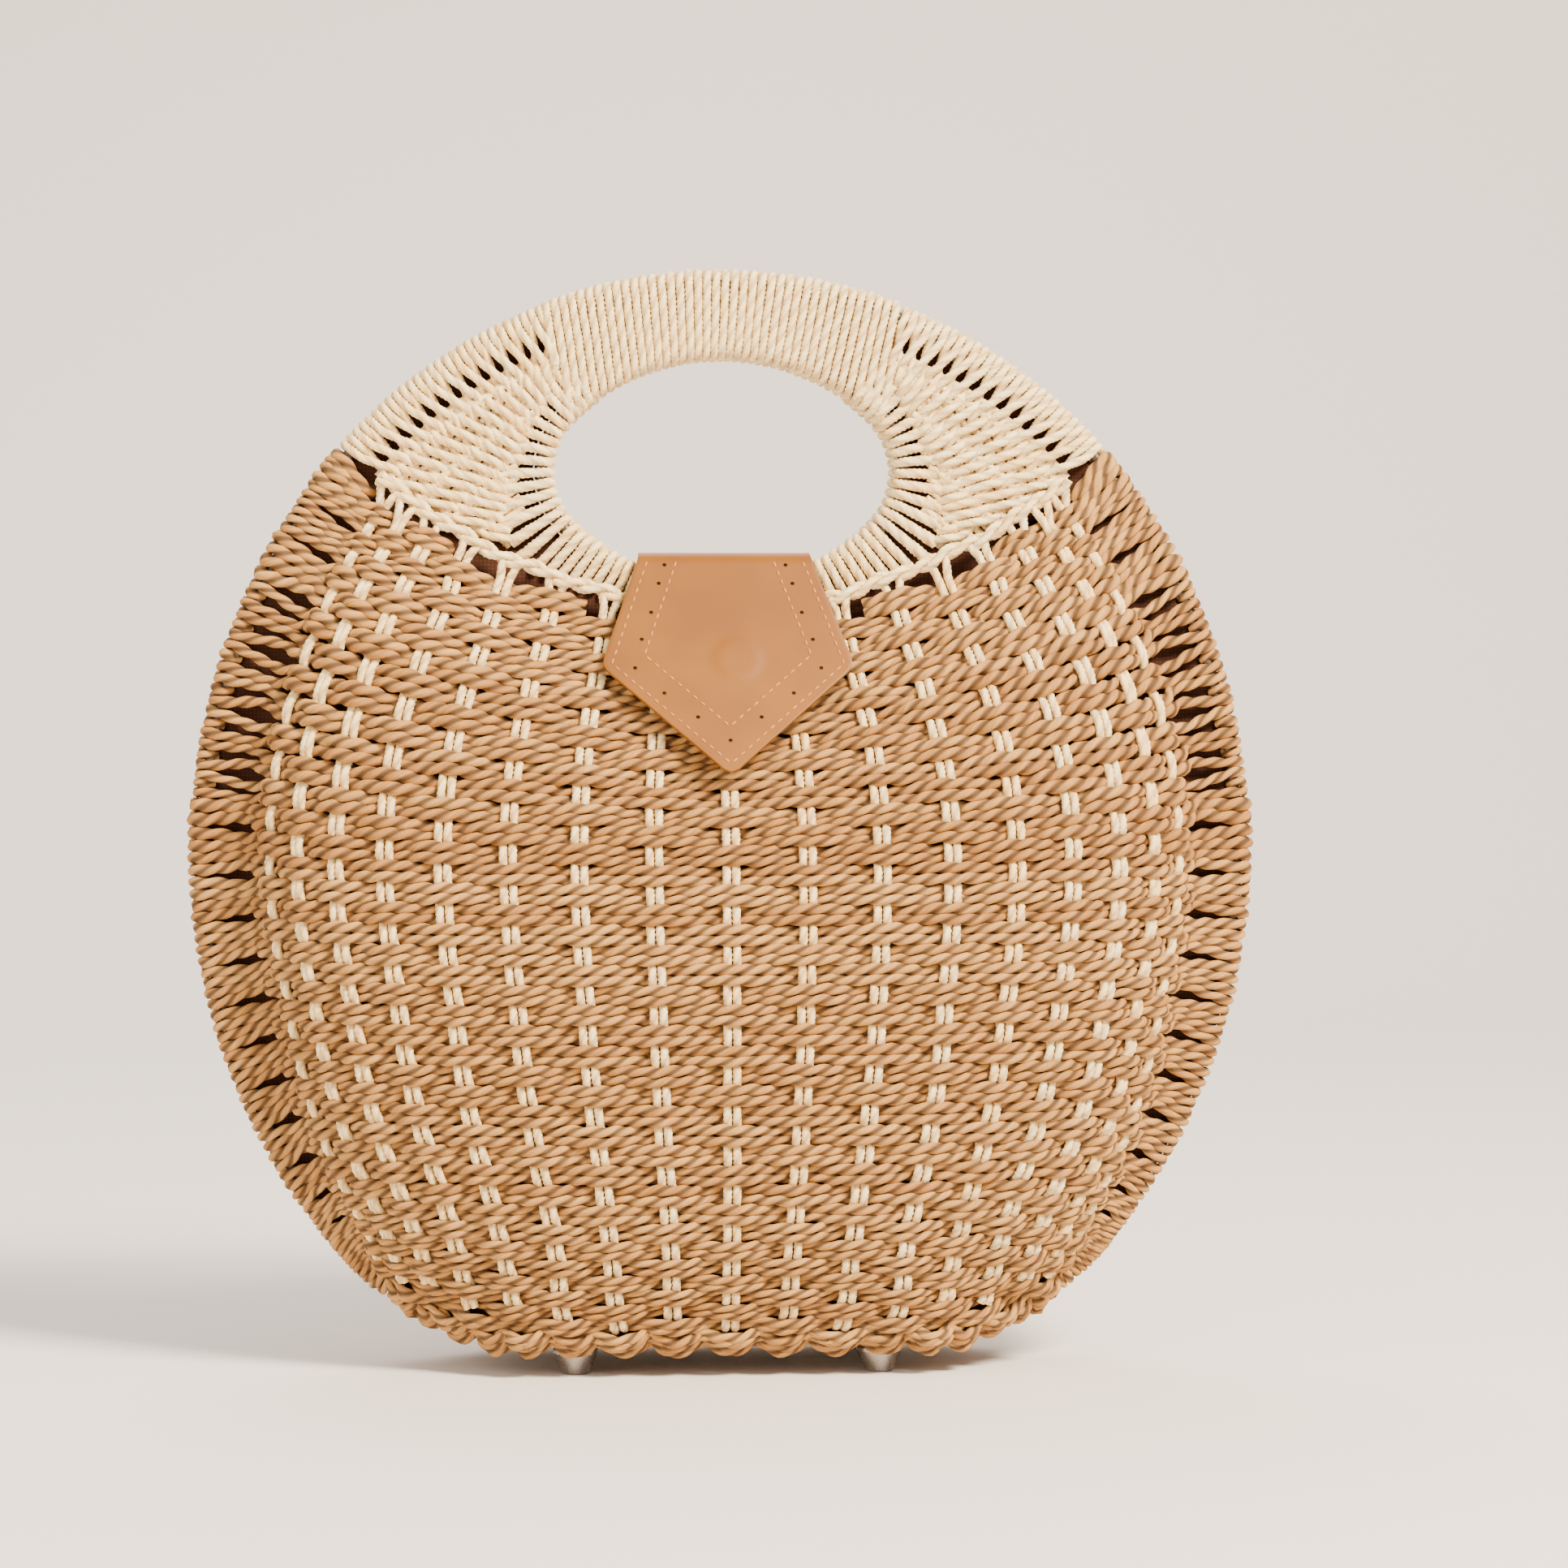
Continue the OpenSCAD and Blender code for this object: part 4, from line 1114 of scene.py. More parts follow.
@dataclass
class WovenShell:
    """Wall, flange and base of one half, woven of paper rope over pairs of cotton cords."""

    side: Side
    dome: Dome = field(default_factory=Dome)
    wall_middle: float = 3.0
    weft_swing: float = 1.7
    warp_swing: float = 1.15
    rope_apart: float = 1.42
    cord_apart: float = 1.34
    least_fat: float = 0.82
    bands: int = 7
    sagging_rows: int = 3
    sag_drop: float = 2.4
    lobe_lift: float = 1.8
    lobe_drop: float = 2.8
    lobe_rise: float = 2.1
    lobe_apart: float = 1.75
    under_border: float = 4.2
    handed_over: int = 8
    group_share: float = 0.72
    wire_in: float = 4.95
    wire_y: float = 5.45
    rim_three: float = 8.6
    turn_pitch: float = 3.3
    base_from: float = 12.6
    base_short: float = 2.5
    base_row: float = 2.95
    base_cord: float = 20.5
    lash_pitch: float = 26.0
    lash_room: float = 6.2
    lining_in: float = 7.9
    lining_wrinkle: float = 0.35
    shade_lip_y: float = 5.4
    shade_lip_short: float = 6.5
    web_y: float = 4.1
    web_hang: float = 7.0

    @property
    def ring(self) -> float:
        """Radius of a rope's middle on its turn round a wire."""
        return self.wire_in - STRAW_LAY.radius

    def on_wall(self, points: Array, lift: Array | float) -> Array:
        """Front-view points placed on the wall, each moved out from the dome's outside by its lift."""
        x, z = points.T
        return joined(x, -self.dome.depth(x, z), z) + self.dome.normal(x, z) * np.asarray(lift)[..., None]

    def weft_lines(self, row: int) -> list[Array]:
        """Two ropes of one weft, or three of the last: over and under the warps in turn, then round the rim.

        Args:
            row: Number of the weft from the first that crosses the middle, with the cut ones below zero.

        Returns:
            Points in millimetres: one line a rope, or two where the hand hole's border cuts it.
        """
        dome = self.dome
        last = row == dome.rows - 1
        v = (row + 0.5) / dome.rows
        half, end_x = dome.half_row(v, 260)
        column = dome.column_at(half[:, 0] / end_x)
        wave = (-1) ** row * np.cos(math.pi * column)
        # The last wefts sag over each warp as they turn under, in fat lobes
        sag = max(0.0, 1 - (dome.rows - 1 - row) / self.sagging_rows)
        lobe = (np.cos(math.pi * column) ** 2 + 0.02) ** 0.45
        lift = self.lobe_lift * lobe if last else self.weft_swing * wave
        middle = self.on_wall(half, lift - self.wall_middle)
        up = unit(np.cross(unit(np.gradient(middle, axis=0)), dome.normal(*half.T)))
        up = np.where(up[:, 2:] < 0, -up, up)
        pitch = self.pitch_scale(v, half)
        apart = self.rope_apart * np.maximum(pitch, 0.85 * sag) * (1 + 0.05 * wave)
        apart *= self.lobe_apart if last else 1
        fat = np.maximum(pitch, self.least_fat) * (1 + 0.2 * sag * lobe)
        # Where the border cuts the weft, both ends of it start past the border
        clear = half[:, 1] < dome.border(half[:, 0]) - self.under_border
        longest = len(half) - 2 * self.handed_over
        first = min(int(np.argmax(clear)) if clear.any() else longest, longest) if row < 0 else 0
        lines = []
        for sign in (1, 0, -1) if last else (1, -1):
            rope = middle + (sign * apart)[:, None] * up
            rope[:, 2] -= self.lobe_drop * lobe - self.lobe_rise if last else self.sag_drop * sag * lobe
            rope = fattened(rope, fat)
            start = rope[-self.handed_over - 1]
            right = np.concatenate([rope[first : -self.handed_over], self.round_rim(row, sign, start)])
            left = mirrored(right)
            lines += [right, left] if first else [np.concatenate([left[:0:-1], right])]
        signs = [2, 3] if row == -dome.cut_rows else []
        for sign in signs + ([0] if self.rim_room(row) > self.rim_three else []):
            extra = self.round_rim(row, sign, start)[27 if sign == 0 else 8 :]
            # A short turn starts below its neighbours
            extra[:8, 1] += np.linspace(3.2, 0, 8)
            lines += both_sides([extra])
        return lines

    def rim_room(self, row: int) -> float:
        """Length of the outline from one weft to the next at the rim."""
        ends = self.dome.outline.rim(np.array([self.rim_spot(row - 1), self.rim_spot(row + 1)]))
        return float(np.linalg.norm(ends[1] - ends[0])) / 2

    def pitch_scale(self, v: float, points: Array) -> Array:
        """How much wider the rows lie apart at each point than where they are closest.

        Args:
            v: Share of the way down the wall.
            points: Front-view points of the row.

        Returns:
            A factor for each point.
        """
        step = 0.5 / self.dome.rows
        x = points[:, 0]
        gap = self.dome.row_height(v - step, x) - self.dome.row_height(min(1, v + step), x)
        slope = np.gradient(points[:, 1], np.maximum(x, np.arange(len(x)) * 1e-6))
        tilt = np.abs(self.dome.normal(x, points[:, 1])[:, 2])
        real = np.abs(gap) / np.sqrt(1 + slope**2) / np.sqrt(1 - np.minimum(tilt, 0.9) ** 2)
        return np.clip(real / self.dome.row_pitch, 0.66, 1.25)

    @cached_property
    def spots(self) -> list[float]:
        """Angle of the outline at which each weft, and one more past the last, reaches the rim."""
        numbers = range(-self.dome.cut_rows, self.dome.rows + 1)
        halves = (self.dome.half_row((n + 0.5) / self.dome.rows, 20)[0] for n in numbers)
        return [self.dome.foot_angle(half[-1]) for half in halves]

    def rim_spot(self, row: int) -> float:
        """Angle of the outline at which a weft reaches the rim.

        Args:
            row: Number of the weft.

        Returns:
            The angle in degrees.
        """
        if row < -self.dome.cut_rows:
            return self.dome.straw_deg
        return self.spots[min(row + self.dome.cut_rows, len(self.spots) - 1)]

    def round_rim(self, row: int, sign: int, start: Array) -> Array:
        """The run of a rope from the dome's edge over the flange and round the rim.

        Args:
            row: Number of the weft.
            sign: 1 for the upper rope, -1 for the lower, 0 for a turn between them, 2 and 3 for turns above.
            start: Last point of the rope on the wall, in millimetres, with its fatness.

        Returns:
            Points of the front half in millimetres.
        """
        outline = self.dome.outline
        above, own, below = (self.rim_spot(row + n) for n in (-1, 0, 1))
        room = self.rim_room(row)
        three = room > self.rim_three
        step = (above - own if sign > 0 else own - below) * (0.33 if three else 0.25)
        deg = min(own + sign * step, self.dome.straw_deg - 0.65)
        mate = self.rim_spot(row + 1 if (row + self.dome.cut_rows) % 2 == 0 else row - 1)
        # The ropes of two wefts draw together on the flange, by the third value of each guide point
        pull = (0.5 * (own + mate) - deg) * (1 - self.group_share)
        reach = float(outline.flange(deg))
        front = self.wire_y + self.ring
        guide = [(reach + 0.6, front + 2.6, 1.0), (reach - 3.0, front + 1.2, 0.95),
                 (reach * 0.62, front + 0.35, 0.5)]
        if reach < 9:
            guide = [(self.wire_in + 2.5, front + 1.0, 0.2)]
        turn = joined(*hook(self.wire_in, self.wire_y, self.ring, np.linspace(0, math.pi, 9)).T, 0.0)
        seam = [(self.wire_in + far, self.wire_y - self.ring, 0) for far in (4, 8)]
        path = np.concatenate([guide, turn, seam])
        points = over_edge(outline.rim, deg + pull * path[:, 2], path)
        fat = np.clip(1.1 * room * (0.33 if three else 0.5) / (2 * STRAW_LAY.radius), 0.75, 1.25)
        return rounded(np.concatenate([start[None], fattened(points, fat)]), 60)[1:]

    def wefts(self) -> None:
        """All the wefts, in bands from the top down."""
        numbers = np.arange(-self.dome.cut_rows, self.dome.rows)
        for band, rows in enumerate(np.array_split(numbers, self.bands)):
            lines = [line for row in rows for line in self.weft_lines(int(row))]
            nodes = () if band else ("weave", "rim_winding")
            self.side.laid(f"weft_band_{band + 1}", lines, STRAW_LAY, PAPER_ROPE, 11 + band, *nodes)

    def warps(self) -> None:
        """Pairs of cream cords that hang from the border to the base."""
        dome = self.dome
        v = np.arange(-4 * dome.cut_rows, 4 * dome.rows) / (4 * dome.rows)
        ends = np.array([dome.half_row(float(t), 60)[1] for t in v])
        down = np.cos(math.pi * (v * dome.rows - 0.5))
        lines = []
        for column in range(-dome.columns, dome.columns + 1):
            far = abs(column)
            x = ends * dome.column_share(far)
            z = np.concatenate([dome.row_height(float(t), a) for t, a in zip(v, x[:, None])])
            flat = joined(x if column >= 0 else -x, z)
            middle = self.on_wall(flat, -self.wall_middle - self.warp_swing * (-1) ** far * down)
            # It ends under the last wefts, where these still hide it
            stays = (z < dome.border(x) - 3.0) & (v < 1 - (1.6 if far < 4 else 3.2) / dome.rows)
            top = self.hanging(middle[stays][0])
            middle = np.concatenate([top, middle[stays]])
            flat = np.concatenate([top[:, [0, 2]], flat[stays]])
            across = unit(np.cross(unit(np.gradient(middle, axis=0)), dome.normal(*flat.T)))
            # Near the sides a warp's two cords lie one behind the other
            spread = np.full(len(middle), self.cord_apart * min(1.0, max(0.12, (8.7 - far) / 3)))
            spread[: len(top)] = np.linspace(2.6, spread[0], len(top))
            lines += [middle + s * spread[:, None] * across for s in (-1, 1)]
        self.side.laid("warp_cords", lines, CORD_LAY, COTTON_CORD, 23)

    def hanging(self, first: Array) -> Array:
        """Points of a warp between the border cord and its first weft.

        Args:
            first: The warp's first point on the wall.

        Returns:
            Points from the border cord down.
        """
        x = first[0] * 0.97
        top = np.array([x, -self.dome.seat - 1.2, float(self.dome.border(x)) + 0.5])
        mid = (top + first) / 2 + np.array([0, -1.0, 0])
        return rounded(np.stack([top, mid, first]), 9)[:-1]

    def seam_turns(self) -> None:
        """Short turns round the rim along the corners, past the last weft."""
        outline = self.dome.outline
        turn = hook(self.wire_in, self.wire_y, self.ring, np.linspace(-0.5, 3.6, 24))
        degs = even_angles(outline.rim, self.rim_spot(self.dome.rows) - 0.6, -89, self.turn_pitch)
        lines = [over_edge(outline.rim, deg, turn) for deg in degs]
        self.side.laid("seam_turns", both_sides(lines), STRAW_LAY, PAPER_ROPE, 33)

    def base(self) -> None:
        """Bottom of the half: ropes along the seam, woven over cross cords, with its ends curved up."""
        outline = self.dome.outline
        corner_x, corner_z, corner_r = outline.arcs["corner"]
        rows = np.arange(self.base_from, self.dome.base_front - self.base_short, self.base_row)
        lines, cords = [], []
        for row, y in enumerate(rows):
            deg = np.linspace(-90, -64, 60)
            end = outline.rim(deg[self.dome.foot_depth(deg) >= y + 1.5], 2.6)
            flat = spaced(np.concatenate([mirrored(end[::-1]), end]), 260)
            x = flat[:, 0]
            wave = (-1) ** (row // 2) * np.cos(math.pi * x / self.base_cord)
            centre = joined(np.sign(x) * np.minimum(np.abs(x), corner_x), corner_z)
            flat = flat + unit(centre - flat) * (0.8 * wave + 0.6)[:, None]
            lines.append(joined(flat[:, 0], -y, flat[:, 1]))
        for x in np.arange(-4, 5) * self.base_cord:
            beyond = max(0.0, abs(x) - corner_x)
            foot = self.dome.foot_depth(np.array([-math.degrees(math.acos(beyond / corner_r))]))[0]
            y = np.linspace(6.5, foot - 4.0, 40)
            wave = 0.6 * np.cos(math.pi * (y - rows[0]) / (2 * self.base_row))
            z = corner_z - math.sqrt(corner_r**2 - beyond**2) + 4.2 + wave
            cords += [joined(x + shift, -y, z) for shift in (-1.35, 1.35)]
        # Rope turns round the bottom wire, with gaps for the lashings
        turn = np.radians(np.linspace(-200, 60, 26))
        y = self.ring * np.sin(turn) - self.wire_y
        z = self.ring * np.cos(turn) + outline.ground_gap + self.wire_in
        lashings = np.arange(-2, 3) * self.lash_pitch
        places = np.arange(-56, 57, self.turn_pitch)
        lines += [joined(x, y, z) for x in places if np.abs(x - lashings).min() >= self.lash_room]
        self.side.laid("base_ropes", lines, STRAW_LAY, PAPER_ROPE, 41, "base")
        self.side.laid("base_cords", cords, CORD_LAY, COTTON_CORD, 43)

    def lining(self) -> None:
        """Brown cloth inside the wall, with its lip out behind the flange: the lip is a dark sheet that
        paints the shade in the flange's gaps.
        """
        dome, outline, word = self.dome, self.dome.outline, self.side.word
        bearing, distance, _ = dome.foot
        turns = np.linspace(-math.pi / 2, math.pi / 2, 91)
        reach = np.interp(turns, bearing, distance)
        deg = np.linspace(-90, dome.straw_deg, 400)
        foot = outline.rim(deg, outline.flange(deg))
        at = np.arctan2(foot[:, 1] - dome.centre_z, foot[:, 0])
        # Painted shade: the lip carries the dark cloth out behind the flange, so the gaps between the rope
        # groups show dark
        room = np.maximum(0, np.interp(turns, at, outline.flange(deg), right=12.0) - self.shade_lip_short)
        rows = []
        for number, share in enumerate((*np.linspace(0.02, 1, 40), 1.0, 1.0, 1.0)):
            wide = max(0, number - 39) / 3 * room
            x = reach * share * np.cos(turns)
            z = dome.centre_z + reach * share * np.sin(turns)
            inner = self.on_wall(joined(x, z), -self.lining_in)
            inner[:, 1] = np.minimum(inner[:, 1], -self.shade_lip_y)
            shade_lip = joined(x + wide * np.cos(turns), -self.shade_lip_y, z + wide * np.sin(turns))
            inner = np.where((wide > 0.1)[:, None], shade_lip, inner)
            rows.append(np.concatenate([inner, mirrored(inner[-2:0:-1])]))
        points = np.concatenate(rows)
        x, _, z = points.T
        points[:, 1] += self.lining_wrinkle * np.sin(x * 0.21 + 2 * np.sin(z * 0.05)) * np.sin(z * 0.11)
        columns = len(rows[0])
        closing = [(n + columns - 1, n, n + columns, n + 2 * columns - 1)
                   for n in range(0, (len(rows) - 1) * columns, columns)]
        faces = grid_faces(len(rows), columns) + closing
        cloth = self.side.cloth("lining_cloth", self.side.place(points), faces, 0.5, "lining")

    def floor_cloth(self) -> None:
        """Cloth on the floor of the half, in the place that the model gives it."""
        low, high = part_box(f"{self.side.word}_floor_lining")
        columns, rows = 60, 12
        x, y = (axis.ravel() for axis in np.meshgrid(np.linspace(low.x, high.x, columns),
                                                     np.linspace(low.y, high.y, rows)))
        z = (low.z + high.z) / 2 + 0.0002 * np.sin(x * 190) * np.cos(y * 260)
        faces = grid_faces(rows, columns)
        cloth = self.side.cloth("floor_cloth", joined(x, y, z), faces, 0.8, "floor_lining")

    def web_shade_cloth(self) -> None:
        """Dark cloth behind the two webs, from beside the rim wire to beside the hole's wire: it paints the
        shade seen through the webs' gaps.
        """
        columns, rows = 24, 16
        rim = self.dome.outline.rim(np.linspace(36, 70, columns), 9.0)
        near = self.dome.hole.edge(np.linspace(-66, 54, columns), 6.4)
        share = np.linspace(0, 1, rows)
        flat = rim[None] + (near - rim)[None] * share[:, None, None]
        # Its lower edge hangs over the wall lining's upper edge
        hang = self.web_hang * np.linspace(1, 0, columns) ** 3
        flat[..., 1] -= np.sin(math.pi * share)[:, None] * hang
        x, z = flat.reshape(-1, 2).T
        right = joined(x, 0.1 * np.sin(x * 0.3) * np.sin(z * 0.27) - self.web_y, z)
        faces = grid_faces(rows, columns) + grid_faces(rows, columns, first=len(right))
        cloth = self.side.cloth("web_shade_cloth", self.side.place(np.concatenate(both_sides([right]))), faces, 0.4)

    def build(self) -> None:
        """Makes every woven piece of the half."""
        self.wefts()
        self.warps()
        self.seam_turns()
        self.base()
        self.lining()
        self.web_shade_cloth()
        self.floor_cloth()


@dataclass
class CreamWork:
    """Cream cord of one half: grip, rim binding, webs, hole binding and border."""

    side: Side
    dome: Dome = field(default_factory=Dome)
    grip_deg: float = 21.0
    grip_half_x: float = 46.55
    grip_turns: int = 40
    wire_y: float = 5.45
    rim_in: float = 4.95
    rim_slack: float = 0.8
    hole_out: float = 4.15
    groups: int = 14
    spoke_y: float = 8.5
    spoke_apart: float = 1.45
    spoke_deep: float = 1.2
    spoke_bow: float = 1.6
    spoke_fat: float = 1.05
    weaver_y: float = 6.8
    weaver_rise: float = 1.3
    weaver_sway: float = 0.35
    weaver_pitch: float = 2.7
    most_weavers: int = 14
    hole_clear: float = 11.0
    hole_pitch: float = 2.68
    hole_fat: float = 1.08
    hole_reach: float = 13.0
    strap_half: float = 31.0
    border_twist: float = 15.0
    border_apart: float = 1.15
    web_from: float = 15.4
    twine_from: float = 13.5
    twine: float = 10.0
    rail: tuple[tuple[float, float], ...] = ((50.5, 286.0), (64.0, 256.0), (62.0, 240.0))

    def grip(self) -> Array:
        """One cord wound forty turns round both wires over the hand hole.

        Returns:
            Points of the front half in millimetres.
        """
        steps = 44
        turn = np.arange(self.grip_turns * steps + 1) / steps
        share = turn / self.grip_turns
        top = self.dome.outline.rim(90 + self.grip_deg - 2 * self.grip_deg * share, self.rim_in)
        x = (2 * share - 1) * self.grip_half_x
        low = joined(x, self.dome.hole.top(x, self.hole_out))
        rings = (self.rim_in - CORD_LAY.radius, self.hole_out - CORD_LAY.radius)
        out, y = round_wires(turn % 1.0, np.linalg.norm(top - low, axis=1), *rings)
        flat = low + unit(top - low) * out[:, None]
        return joined(flat[:, 0], y - self.wire_y, flat[:, 1])

    def wire_turn(self, edge: Callable[..., Array], deg: float, wire: float, ring: float) -> Array:
        """Cord round the wire beside an edge, from the front over the edge to the seam side."""
        path = hook(wire, self.wire_y, ring, np.linspace(0, math.pi, 9))
        return over_edge(edge, deg, np.concatenate([path, path[-1] + np.array([[3, 0], [6, 0]])]))

    def rim_turn(self, deg: float) -> Array:
        """Cord round the rim wire, from the seam side out and over to the front."""
        ring = self.rim_in - self.rim_slack - FINE_CORD_LAY.radius
        return self.wire_turn(self.dome.outline.rim, deg, self.rim_in, ring)[::-1]

    def spokes(self) -> list[Array]:
        """Cords from the rim across the right web, in pairs that twine round the weavers.

        Returns:
            Lines of the front half's right side, in millimetres.
        """
        shift = 0.25 * self.side.value
        first = 90 - self.grip_deg + 0.1 + 2 * shift
        last = self.dome.straw_deg + 0.1 + 2 * shift
        half_step = (first - last) / self.groups / 4
        rail = rounded(np.array(self.rail), self.groups)
        q = np.linspace(0, 1, 90)
        lines = []
        for j in range(self.groups):
            deg = first + (last - first) * (j + 0.5 + shift) / self.groups
            begin = self.rim_turn(deg)[-1, [0, 2]]
            flat = begin + (rail[j] - begin) * q[:, None]
            across = unit(np.array([flat[-1, 1] - flat[0, 1], flat[0, 0] - flat[-1, 0]]))
            flat = flat + (self.spoke_bow * np.sin(math.pi * q) * (1 - 2 * j / self.groups))[:, None] * across
            inset = away_from(flat, self.dome.outline.rim(np.linspace(30, 85, 400))) + 0.5 * math.sin(2.4 * j)
            # Each pair lies side by side at the rim and then changes places once for every twine length
            phase = math.pi / 2 * np.clip((inset - 6) / 6.5, 0, 1)
            phase += math.pi * np.maximum(0, inset - self.twine_from) / self.twine
            tail = np.clip((q - 0.93) / 0.07, 0, 1)
            y = 2.2 * tail - 0.35 * np.clip((9 - inset) / 3, 0, 1) - self.spoke_y
            for sign in (1, -1):
                mid = flat + (self.spoke_apart * sign * np.cos(phase))[:, None] * across
                line = joined(mid[:, 0], y + self.spoke_deep * sign * np.sin(phase), mid[:, 1])[5:]
                turn = self.rim_turn(deg + sign * half_step)
                line = fattened(np.concatenate([turn, line]), self.spoke_fat)
                below = np.nonzero(line[:, 2] < self.dome.border(line[:, 0]) + 0.6)[0]
                line = line[: below[0]] if len(below) else line
                if len(line) > 16:
                    lines.append(line)
        return lines

    def weavers(self) -> list[Array]:
        """Cords along the rim's curve, behind the spokes except where these change places.

        Returns:
            Lines of the front half's right side, in millimetres.
        """
        dome = self.dome
        hole_edge = dome.hole.edge(np.linspace(-90, 90, 400))
        lines = []
        for j in range(self.most_weavers):
            inset = self.web_from + j * self.weaver_pitch
            flat = dome.outline.rim(np.linspace(76, 33, 400), inset)
            inside = (away_from(flat, hole_edge) > self.hole_clear) & self.beside_grip(flat)
            inside &= (flat[:, 1] > dome.border(flat[:, 0]) + 1.0) & (flat[:, 0] > dome.hole.width / 2)
            if inside.sum() < 20:
                continue
            near = 0.5 - 0.5 * math.cos(2 * math.pi * (inset - self.twine_from) / self.twine)
            x, z = spaced(flat[inside], 60).T
            sway = self.weaver_sway * np.sin(np.linspace(0, 9, 60) + j)
            lines.append(joined(x, sway - self.weaver_y - self.weaver_rise * near, z))
        return lines

    def beside_grip(self, flat: Array) -> Array:
        """Whether points lie outside the grip's end on the right.

        Args:
            flat: Front-view points.

        Returns:
            True for each point that lies outside.
        """
        top = self.dome.outline.rim(90 - self.grip_deg)
        low = self.dome.hole.edge(52.0)
        share = (flat[:, 1] - low[1]) / (top[1] - low[1])
        return flat[:, 0] > low[0] + (top[0] - low[0]) * share + 1.6

    def hole_turns(self) -> list[Array]:
        """Turns round the hole's wire from the grip's end down, out to the web or to the border.

        Returns:
            Lines of the front half's right side, in millimetres.
        """
        hole, border = self.dome.hole, self.dome.border
        crown_r, _, side_r, _ = hole.arcs
        q = np.linspace(1, 0, 9)[:-1]
        lines = []
        for deg in even_angles(hole.edge, 54, -90, self.hole_pitch) + 0.6 * self.side.value:
            turn = self.wire_turn(hole.edge, deg, self.hole_out, self.hole_out - FINE_CORD_LAY.radius)
            start = turn[0, [0, 2]]
            away = np.array([math.cos(math.radians(deg)), math.sin(math.radians(deg))])
            stop = self.hole_reach + 3.0 * abs(away[1])
            reach, step = 2.0, 0.4
            while reach < stop:
                at = start + away * (reach + step)
                if at[1] < border(at[0]) + 0.4:
                    break
                reach += step
            x, z = (start + away * reach * q[:, None]).T
            y = turn[0, 1] + 1.1 * q + 0.6 * np.clip((q - 0.8) / 0.2, 0, 1)
            # A turn on a tight bend fans out, and its cord flattens to fill the room
            fan = 0.55 * reach / (crown_r if away[1] < -away[0] else side_r)
            fat = self.hole_fat + np.append(fan * q, np.zeros(len(turn)))
            lines.append(fattened(np.concatenate([joined(x, y, z), turn]), fat))
        return lines

    def border(self) -> list[Array]:
        """Two cords twisted round each other along the weave's upper border.

        Returns:
            Lines of the front half in millimetres.
        """
        x = np.linspace(-self.dome.junction[0] - 1, self.dome.junction[0] + 1, 600)
        drift = 0.5 * np.sin(x * 0.31) + 0.4 * np.sin(x * 0.13 + 1)
        under_strap = np.clip((self.strap_half - np.abs(x)) / 5, 0, 1)
        line = joined(x, 2.9 * under_strap - self.dome.seat - 1.6, self.dome.border(x) + 0.7 + drift)
        inward = np.array([0.0, 1.0, 0.0])
        up = unit(np.cross(np.gradient(line, axis=0), inward))
        turn = lengths_along(line)[:, None] / self.border_twist * 2 * math.pi
        return [line + self.border_apart * (np.cos(turn + p) * up + np.sin(turn + p) * inward)
                for p in (0, math.pi)]

    def build(self) -> None:
        """Makes every cream piece of the half."""
        laid = self.side.laid
        laid("grip_cord", [self.grip()], CORD_LAY, COTTON_CORD, 51, "grip_winding")
        laid("web_spokes", both_sides(self.spokes()), FINE_CORD_LAY, COTTON_CORD, 61,
             "rim_binding", "corner_webs")
        laid("web_weavers", both_sides(self.weavers()), FINE_CORD_LAY, COTTON_CORD, 62)
        laid("hole_cord", both_sides(self.hole_turns()), CORD_LAY, COTTON_CORD, 63, "hole_binding")
        laid("border_cord", self.border(), CORD_LAY, COTTON_CORD, 64)


# The leather strap, the hinge and the metal parts

